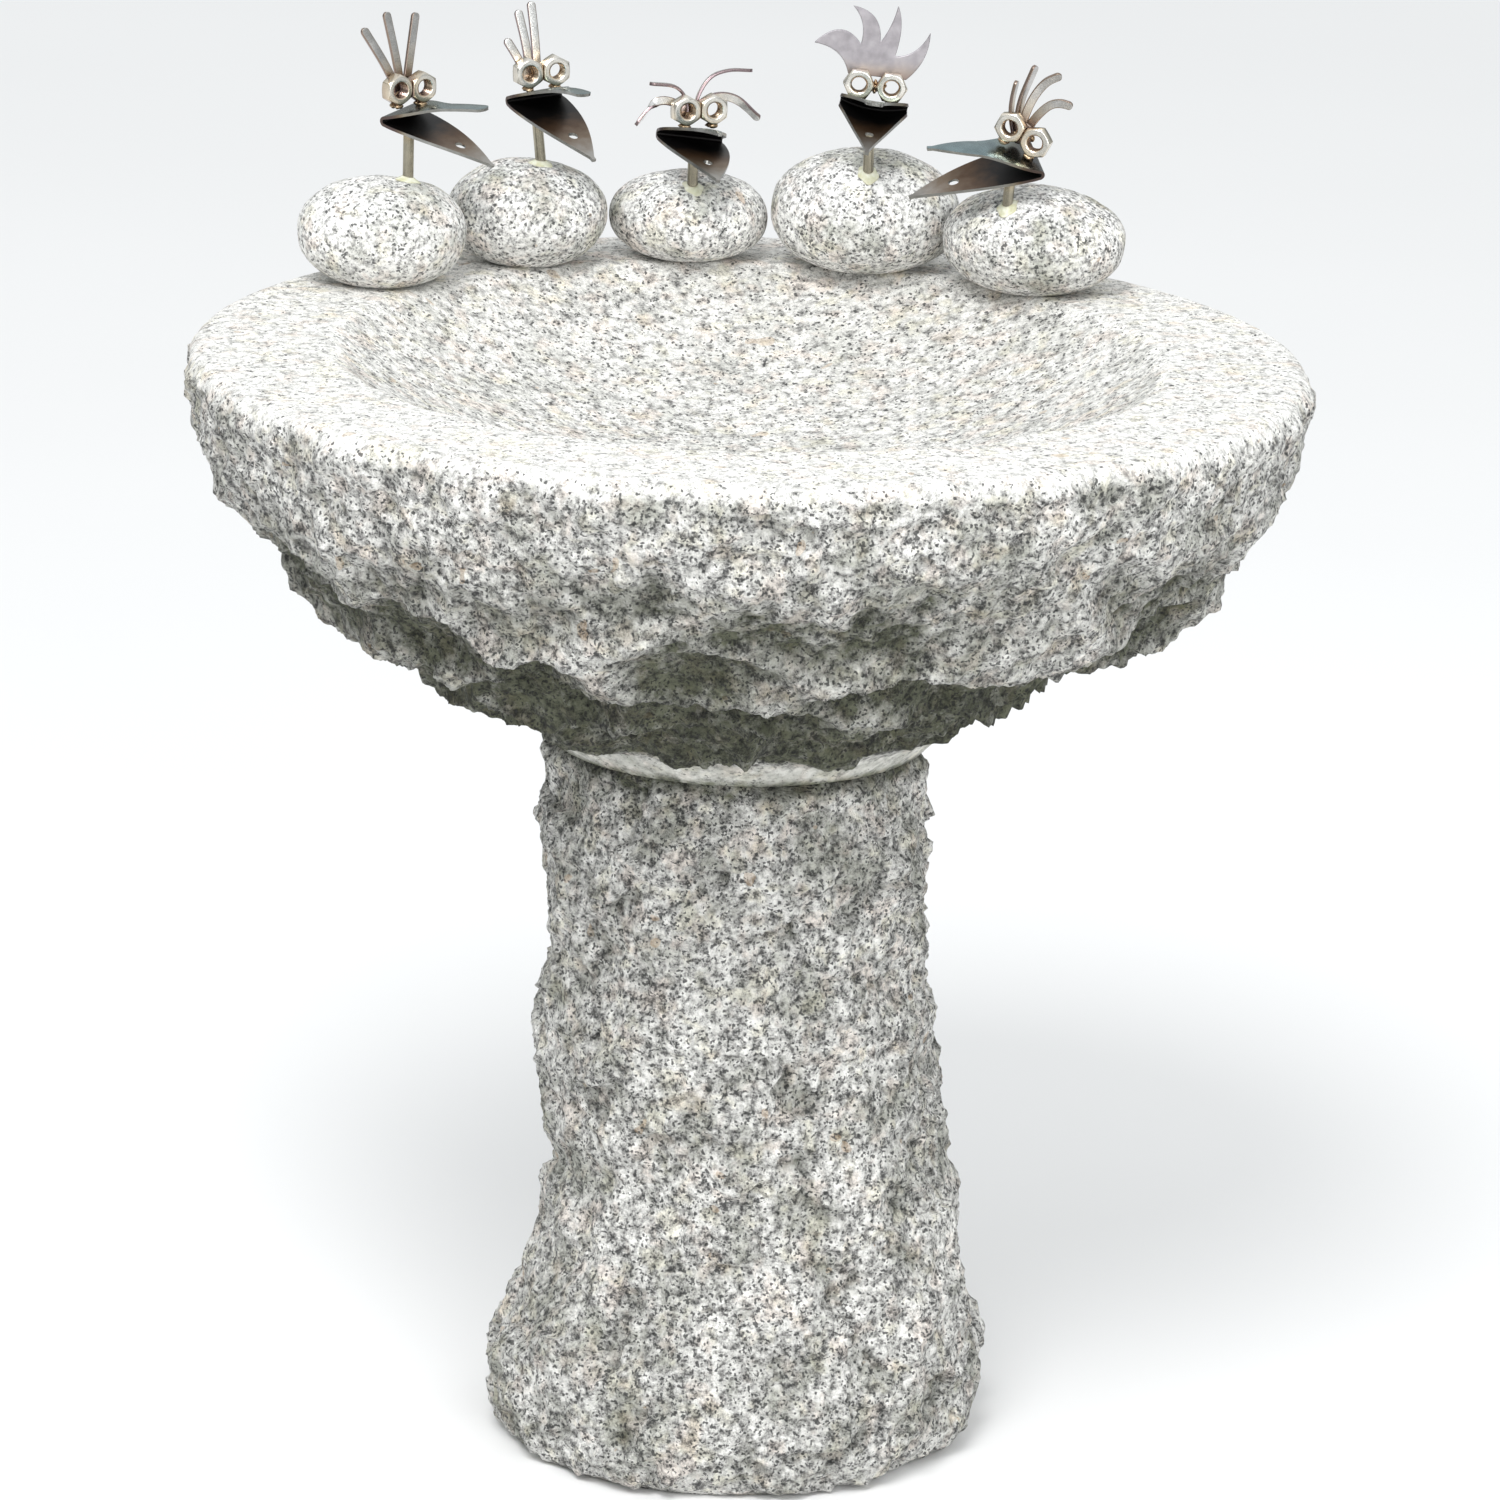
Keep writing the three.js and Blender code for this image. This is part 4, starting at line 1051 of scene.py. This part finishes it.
def make_flame(bird, gaze, fold):
    """Flame-shaped crest: a flat filled outline with rounded edges, stood upright behind the eyes and
    tilted back a little.
    """
    outline, start = [], FLAME_LEFT
    for bulge, tip, inner, valley in FLAME_TONGUES:
        outline += [*quadratic(start, bulge, tip, 14), *quadratic(tip, inner, valley, 14)]
        start = valley
    outline = resample(np.array(outline + [FLAME_RIGHT, FLAME_LEFT]), 0.9)[:-1]
    curve = bpy.data.curves.new("flame_outline", "CURVE")
    curve.dimensions = "2D"
    curve.fill_mode = "BOTH"
    curve.extrude = 0.5 * MM
    curve.bevel_depth = 0.3 * MM
    curve.bevel_resolution = 2
    curve.offset = -0.3 * MM
    path = curve.splines.new("POLY")
    path.points.add(len(outline) - 1)
    for point, (x, y) in zip(path.points, outline):
        point.co = (x * MM, y * MM, 0, 1)
    path.use_cyclic_u = True
    shape = bpy.data.objects.new("flame_outline", curve)
    bpy.context.scene.collection.objects.link(shape)
    solid = shape.evaluated_get(bpy.context.evaluated_depsgraph_get())
    mesh = bpy.data.meshes.new_from_object(solid)
    bpy.data.objects.remove(shape)
    mesh.materials.clear()
    mesh.materials.append(FLAME_STEEL)
    piece = bpy.data.objects.new(f"{bird['name']}_flame_crest", mesh)
    bpy.context.scene.collection.objects.link(piece)
    right, up = bird["plate"]
    centre = Vector(fold) + behind_eyes(right, up, CREST_BACK, gaze)
    lean = Matrix.Rotation(-CREST_LEAN, 4, "X")
    stand = Matrix.Rotation(pi / 2, 4, "X")
    mesh.transform(Matrix.Translation(centre * MM) @ lean @ stand)
    low = centre.z * MM
    burnt = [0.5 * np.exp(-(((v.co.z - low) / (7 * MM)) ** 2)) for v in mesh.vertices]
    set_attribute(piece, "scorch_and_shade", burnt)
    place(piece, bird["name"], "tinted_steel", f"{bird['name']}_crest_plate")


def make_neck(bird, head):
    """Neck rod, cut to the slope of the beak and let a little into its sheet."""
    neck, stone, name = bird["neck"], bird["stone"], bird["name"]
    ground = float(stone_top(stone, neck["x"], neck["y"]))
    drop = radians(bird["beak"]["drop"])
    normal = Vector((-sin(drop), 0, -cos(drop)))
    point = head @ (Vector((0, 0, -FOLD_RADIUS)) + normal * (SHEET_SEEN / 2 - 0.5))
    normal = head.to_3x3() @ normal
    slope = Vector((neck["lean"], 0, 1))
    angle = np.linspace(0, 2 * pi, 44, endpoint=False)
    rim = np.stack([np.cos(angle), np.sin(angle)], -1) * NECK_RADIUS
    climb = []
    for dx, dy in rim:
        foot = Vector((neck["x"] + dx, neck["y"] + dy, ground))
        climb.append((point - foot).dot(normal) / slope.dot(normal))
    climb = np.array(climb)
    rows = []
    for share in np.linspace(0, 1, 46):
        height = -NECK_BURIED + share * (climb + NECK_BURIED)
        x = neck["x"] + rim[:, 0] + neck["lean"] * height
        rows.append(np.stack([x, neck["y"] + rim[:, 1], ground + height], -1))
    rows = np.array(rows)
    rod = closed_surface(f"{name}_rod", rows, [BRIGHT])
    below = (climb - (rows[..., 2] - ground)).ravel()
    set_attribute(rod, "scorch_and_shade", 0.6 * np.exp(-((below / 7) ** 2)))
    place(rod, name, "stainless", f"{name}_neck_rod")
    top = Vector((neck["x"] + neck["lean"] * climb.mean(), neck["y"], ground + climb.mean()))
    return top, normal


def make_resin(bird, seed):
    """Resin round the foot of the rod, run out a little over the stone."""
    neck, stone, name = bird["neck"], bird["stone"], bird["name"]
    angle = np.linspace(0, 2 * pi, 72, endpoint=False)
    wander_edge = 1 + 0.22 * np.sin(2 * angle + seed) + 0.12 * np.sin(5 * angle + 2.3 * seed)
    rows = []
    for share in np.linspace(0, 1, 14):
        radius = NECK_RADIUS + 0.05 + (2.7 * wander_edge) * share
        x = neck["x"] + radius * np.cos(angle)
        y = neck["y"] + radius * np.sin(angle)
        fillet = 1.3 * (1 - share) ** 2.2 + 0.28 * (1 - share**4) - 0.3 * share**6
        rows.append(np.stack([x, y, stone_top(stone, x, y) + fillet], -1))
    inner = rows[0].copy()
    inner[:, 2] -= 6
    ring = closed_surface(f"{name}_resin", np.array([inner, *rows])[::-1], [RESIN])
    place(ring, name, "resin", f"{name}_resin_collar")


# ---------------------------------------------------------------- weld beads


def blob(centre, size, turn, seed):
    """Lumpy drop of weld metal as rings of points."""
    polar = np.linspace(0.05, pi - 0.05, 16)[:, None]
    azimuth = np.linspace(0, 2 * pi, 24, endpoint=False)[None, :]
    ball = np.stack([
        np.sin(polar) * np.cos(azimuth),
        np.sin(polar) * np.sin(azimuth),
        -np.cos(polar) * np.ones_like(azimuth),
    ], -1)
    ball *= (1 + 0.22 * fractal(ball, 0.7, 2, seed))[..., None]
    return in_frame(turn, ball * size + centre)


NUT_BEADS = [(-1.6, (1.7, 2.6, 1.3)), (1.4, (1.5, 2.2, 1.2))]
BRIDGE_BEAD = (2.1, 0.9, 1.3)
CREST_BEAD = (1.0, 1.9, 1.7)
NECK_BEAD = (1.05, 1.05, 0.8)
NECK_BEADS = 11


def make_welds(bird, gaze, top, normal, seed):
    """Beads under the nuts, between them, on the crest's foot and round the neck."""
    name, eyes = bird["name"], bird["eyes"]
    drops = []
    low = -half_nut(eyes) - 0.1
    for sign in (-1, 1):
        for back, size in NUT_BEADS:
            at = (back, sign * eyes["spacing"] / 2, low)
            drops.append(blob(at, size, gaze, seed + sign))
    for up in (-2.6, -0.6, 1.4):
        drops.append(blob((-0.6, 0, up), BRIDGE_BEAD, gaze, seed + up))
    for side in (-3.4, 0, 3.4):
        drops.append(blob((-3.6, side, -2 + 0.4 * side), CREST_BEAD, gaze, seed + side))
    around = Matrix.Translation(top) @ normal.to_track_quat("-Z", "X").to_matrix().to_4x4()
    for k in range(NECK_BEADS):
        angle = 2 * pi * k / NECK_BEADS
        at = (2.7 * cos(angle), 2.7 * sin(angle), -0.9)
        drops.append(blob(at, NECK_BEAD, around, seed + k))
    pieces = [closed_surface(f"weld_{k}", rows, [WELD]) for k, rows in enumerate(drops)]
    whole = join_pieces(pieces, f"{name}_weld_beads")
    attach(whole, name)


def make_bird(bird, seed):
    eyes, beak = bird["eyes"], bird["beak"]
    fold = Vector((bird["head"]["x"], bird["head"]["y"], bird["head"]["z"]))
    head = head_frame(fold, bird["head"]["gaze"], bird["head"]["roll"])
    above = FOLD_RADIUS + SHEET / 2 + NUT_LIFT + eyes["lift"]
    climb = NUT_FORWARD * tan(radians(beak["raise"]))
    seat = head @ Vector((NUT_FORWARD, eyes["side"], above + climb + half_nut(eyes)))
    gaze = head_frame(seat - fold, eyes["gaze"], eyes["roll"])
    on_world = Matrix.Translation(fold) @ gaze
    make_stone(bird, seed)
    make_beak(bird, head)
    make_nuts(bird, on_world)
    make_crest(bird, gaze, fold)
    top, normal = make_neck(bird, head)
    make_resin(bird, seed)
    make_welds(bird, on_world, top, normal, seed)


# ----------------------------------------------------- floor, light and camera

CAMERA_AT = (0, -3.118, 1.2278)
CAMERA_LENS = 171.96
CAMERA_PITCH = 16.182
CAMERA_YAW = 0.103
CAMERA_ROLL = 1.8
FLOOR_SIZE = 60


def make_floor():
    bpy.ops.mesh.primitive_plane_add(size=FLOOR_SIZE)
    floor = bpy.context.active_object
    floor.name = "floor"
    floor.data.materials.append(floor_material())


def area_light(name, place_at, target, size, power):
    data = bpy.data.lights.new(name, "AREA")
    data.shape = "DISK"
    data.size = size
    data.energy = power
    lamp = bpy.data.objects.new(name, data)
    lamp.location = place_at
    lamp.rotation_euler = (Vector(target) - Vector(place_at)).to_track_quat("-Z", "Y").to_euler()
    bpy.context.scene.collection.objects.link(lamp)


def make_world():
    """Soft dome, brighter overhead, that the camera sees as one plain pale tone."""
    world = bpy.data.worlds.new("studio")
    bpy.context.scene.world = world
    world.use_nodes = True
    tree = world.node_tree
    background = tree.nodes["Background"]
    direction = tree.nodes.new("ShaderNodeTexCoord")
    split = tree.nodes.new("ShaderNodeSeparateXYZ")
    tree.links.new(direction.outputs["Generated"], split.inputs[0])
    dome = tree.nodes.new("ShaderNodeValToRGB")
    ramp = dome.color_ramp.elements
    ramp[0].position, ramp[0].color = 0.02, (0.16, 0.17, 0.16, 1)
    ramp[1].position, ramp[1].color = 0.7, (0.98, 1.0, 1.02, 1)
    middle = ramp.new(0.22)
    middle.color = (0.62, 0.64, 0.62, 1)
    tree.links.new(split.outputs["Z"], dome.inputs["Fac"])
    seen = tree.nodes.new("ShaderNodeLightPath")
    mix = tree.nodes.new("ShaderNodeMix")
    mix.data_type = "RGBA"
    mix.inputs[7].default_value = (0.94, 0.94, 0.94, 1)
    tree.links.new(seen.outputs["Is Camera Ray"], mix.inputs[0])
    tree.links.new(dome.outputs["Color"], mix.inputs[6])
    tree.links.new(mix.outputs[2], background.inputs["Color"])


def make_camera():
    """Looks down on the birdbath at the photograph's angle, with its slight tilt."""
    data = bpy.data.cameras.new("camera")
    data.sensor_width = 36
    data.lens = CAMERA_LENS
    data.clip_end = 100
    camera = bpy.data.objects.new("camera", data)
    pitch, yaw, roll = radians(CAMERA_PITCH), radians(CAMERA_YAW), radians(CAMERA_ROLL)
    ahead = Vector((sin(yaw) * cos(pitch), cos(yaw) * cos(pitch), -sin(pitch)))
    turn = ahead.to_track_quat("-Z", "Y").to_matrix().to_4x4() @ Matrix.Rotation(roll, 4, "Z")
    camera.matrix_world = Matrix.Translation(CAMERA_AT) @ turn
    bpy.context.scene.collection.objects.link(camera)
    bpy.context.scene.camera = camera


make_camera()
make_column()
make_bowl()
for number, bird in enumerate(BIRDS, 1):
    make_bird(bird, number)
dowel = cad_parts["centre_dowel"]
dowel.data.materials.clear()
dowel.data.materials.append(BRIGHT)
chamfer = dowel.modifiers.new("chamfer", "BEVEL")
chamfer.width = 0.8 * MM
chamfer.segments = 2

make_floor()
make_world()
area_light("key", (-0.6, -2.2, 3.1), (0, 0, 0.35), 1.5, 86)
area_light("front_fill", (1.4, -3.4, 1.6), (0, 0, 0.3), 2.2, 54)
bpy.context.scene.view_settings.view_transform = "Standard"
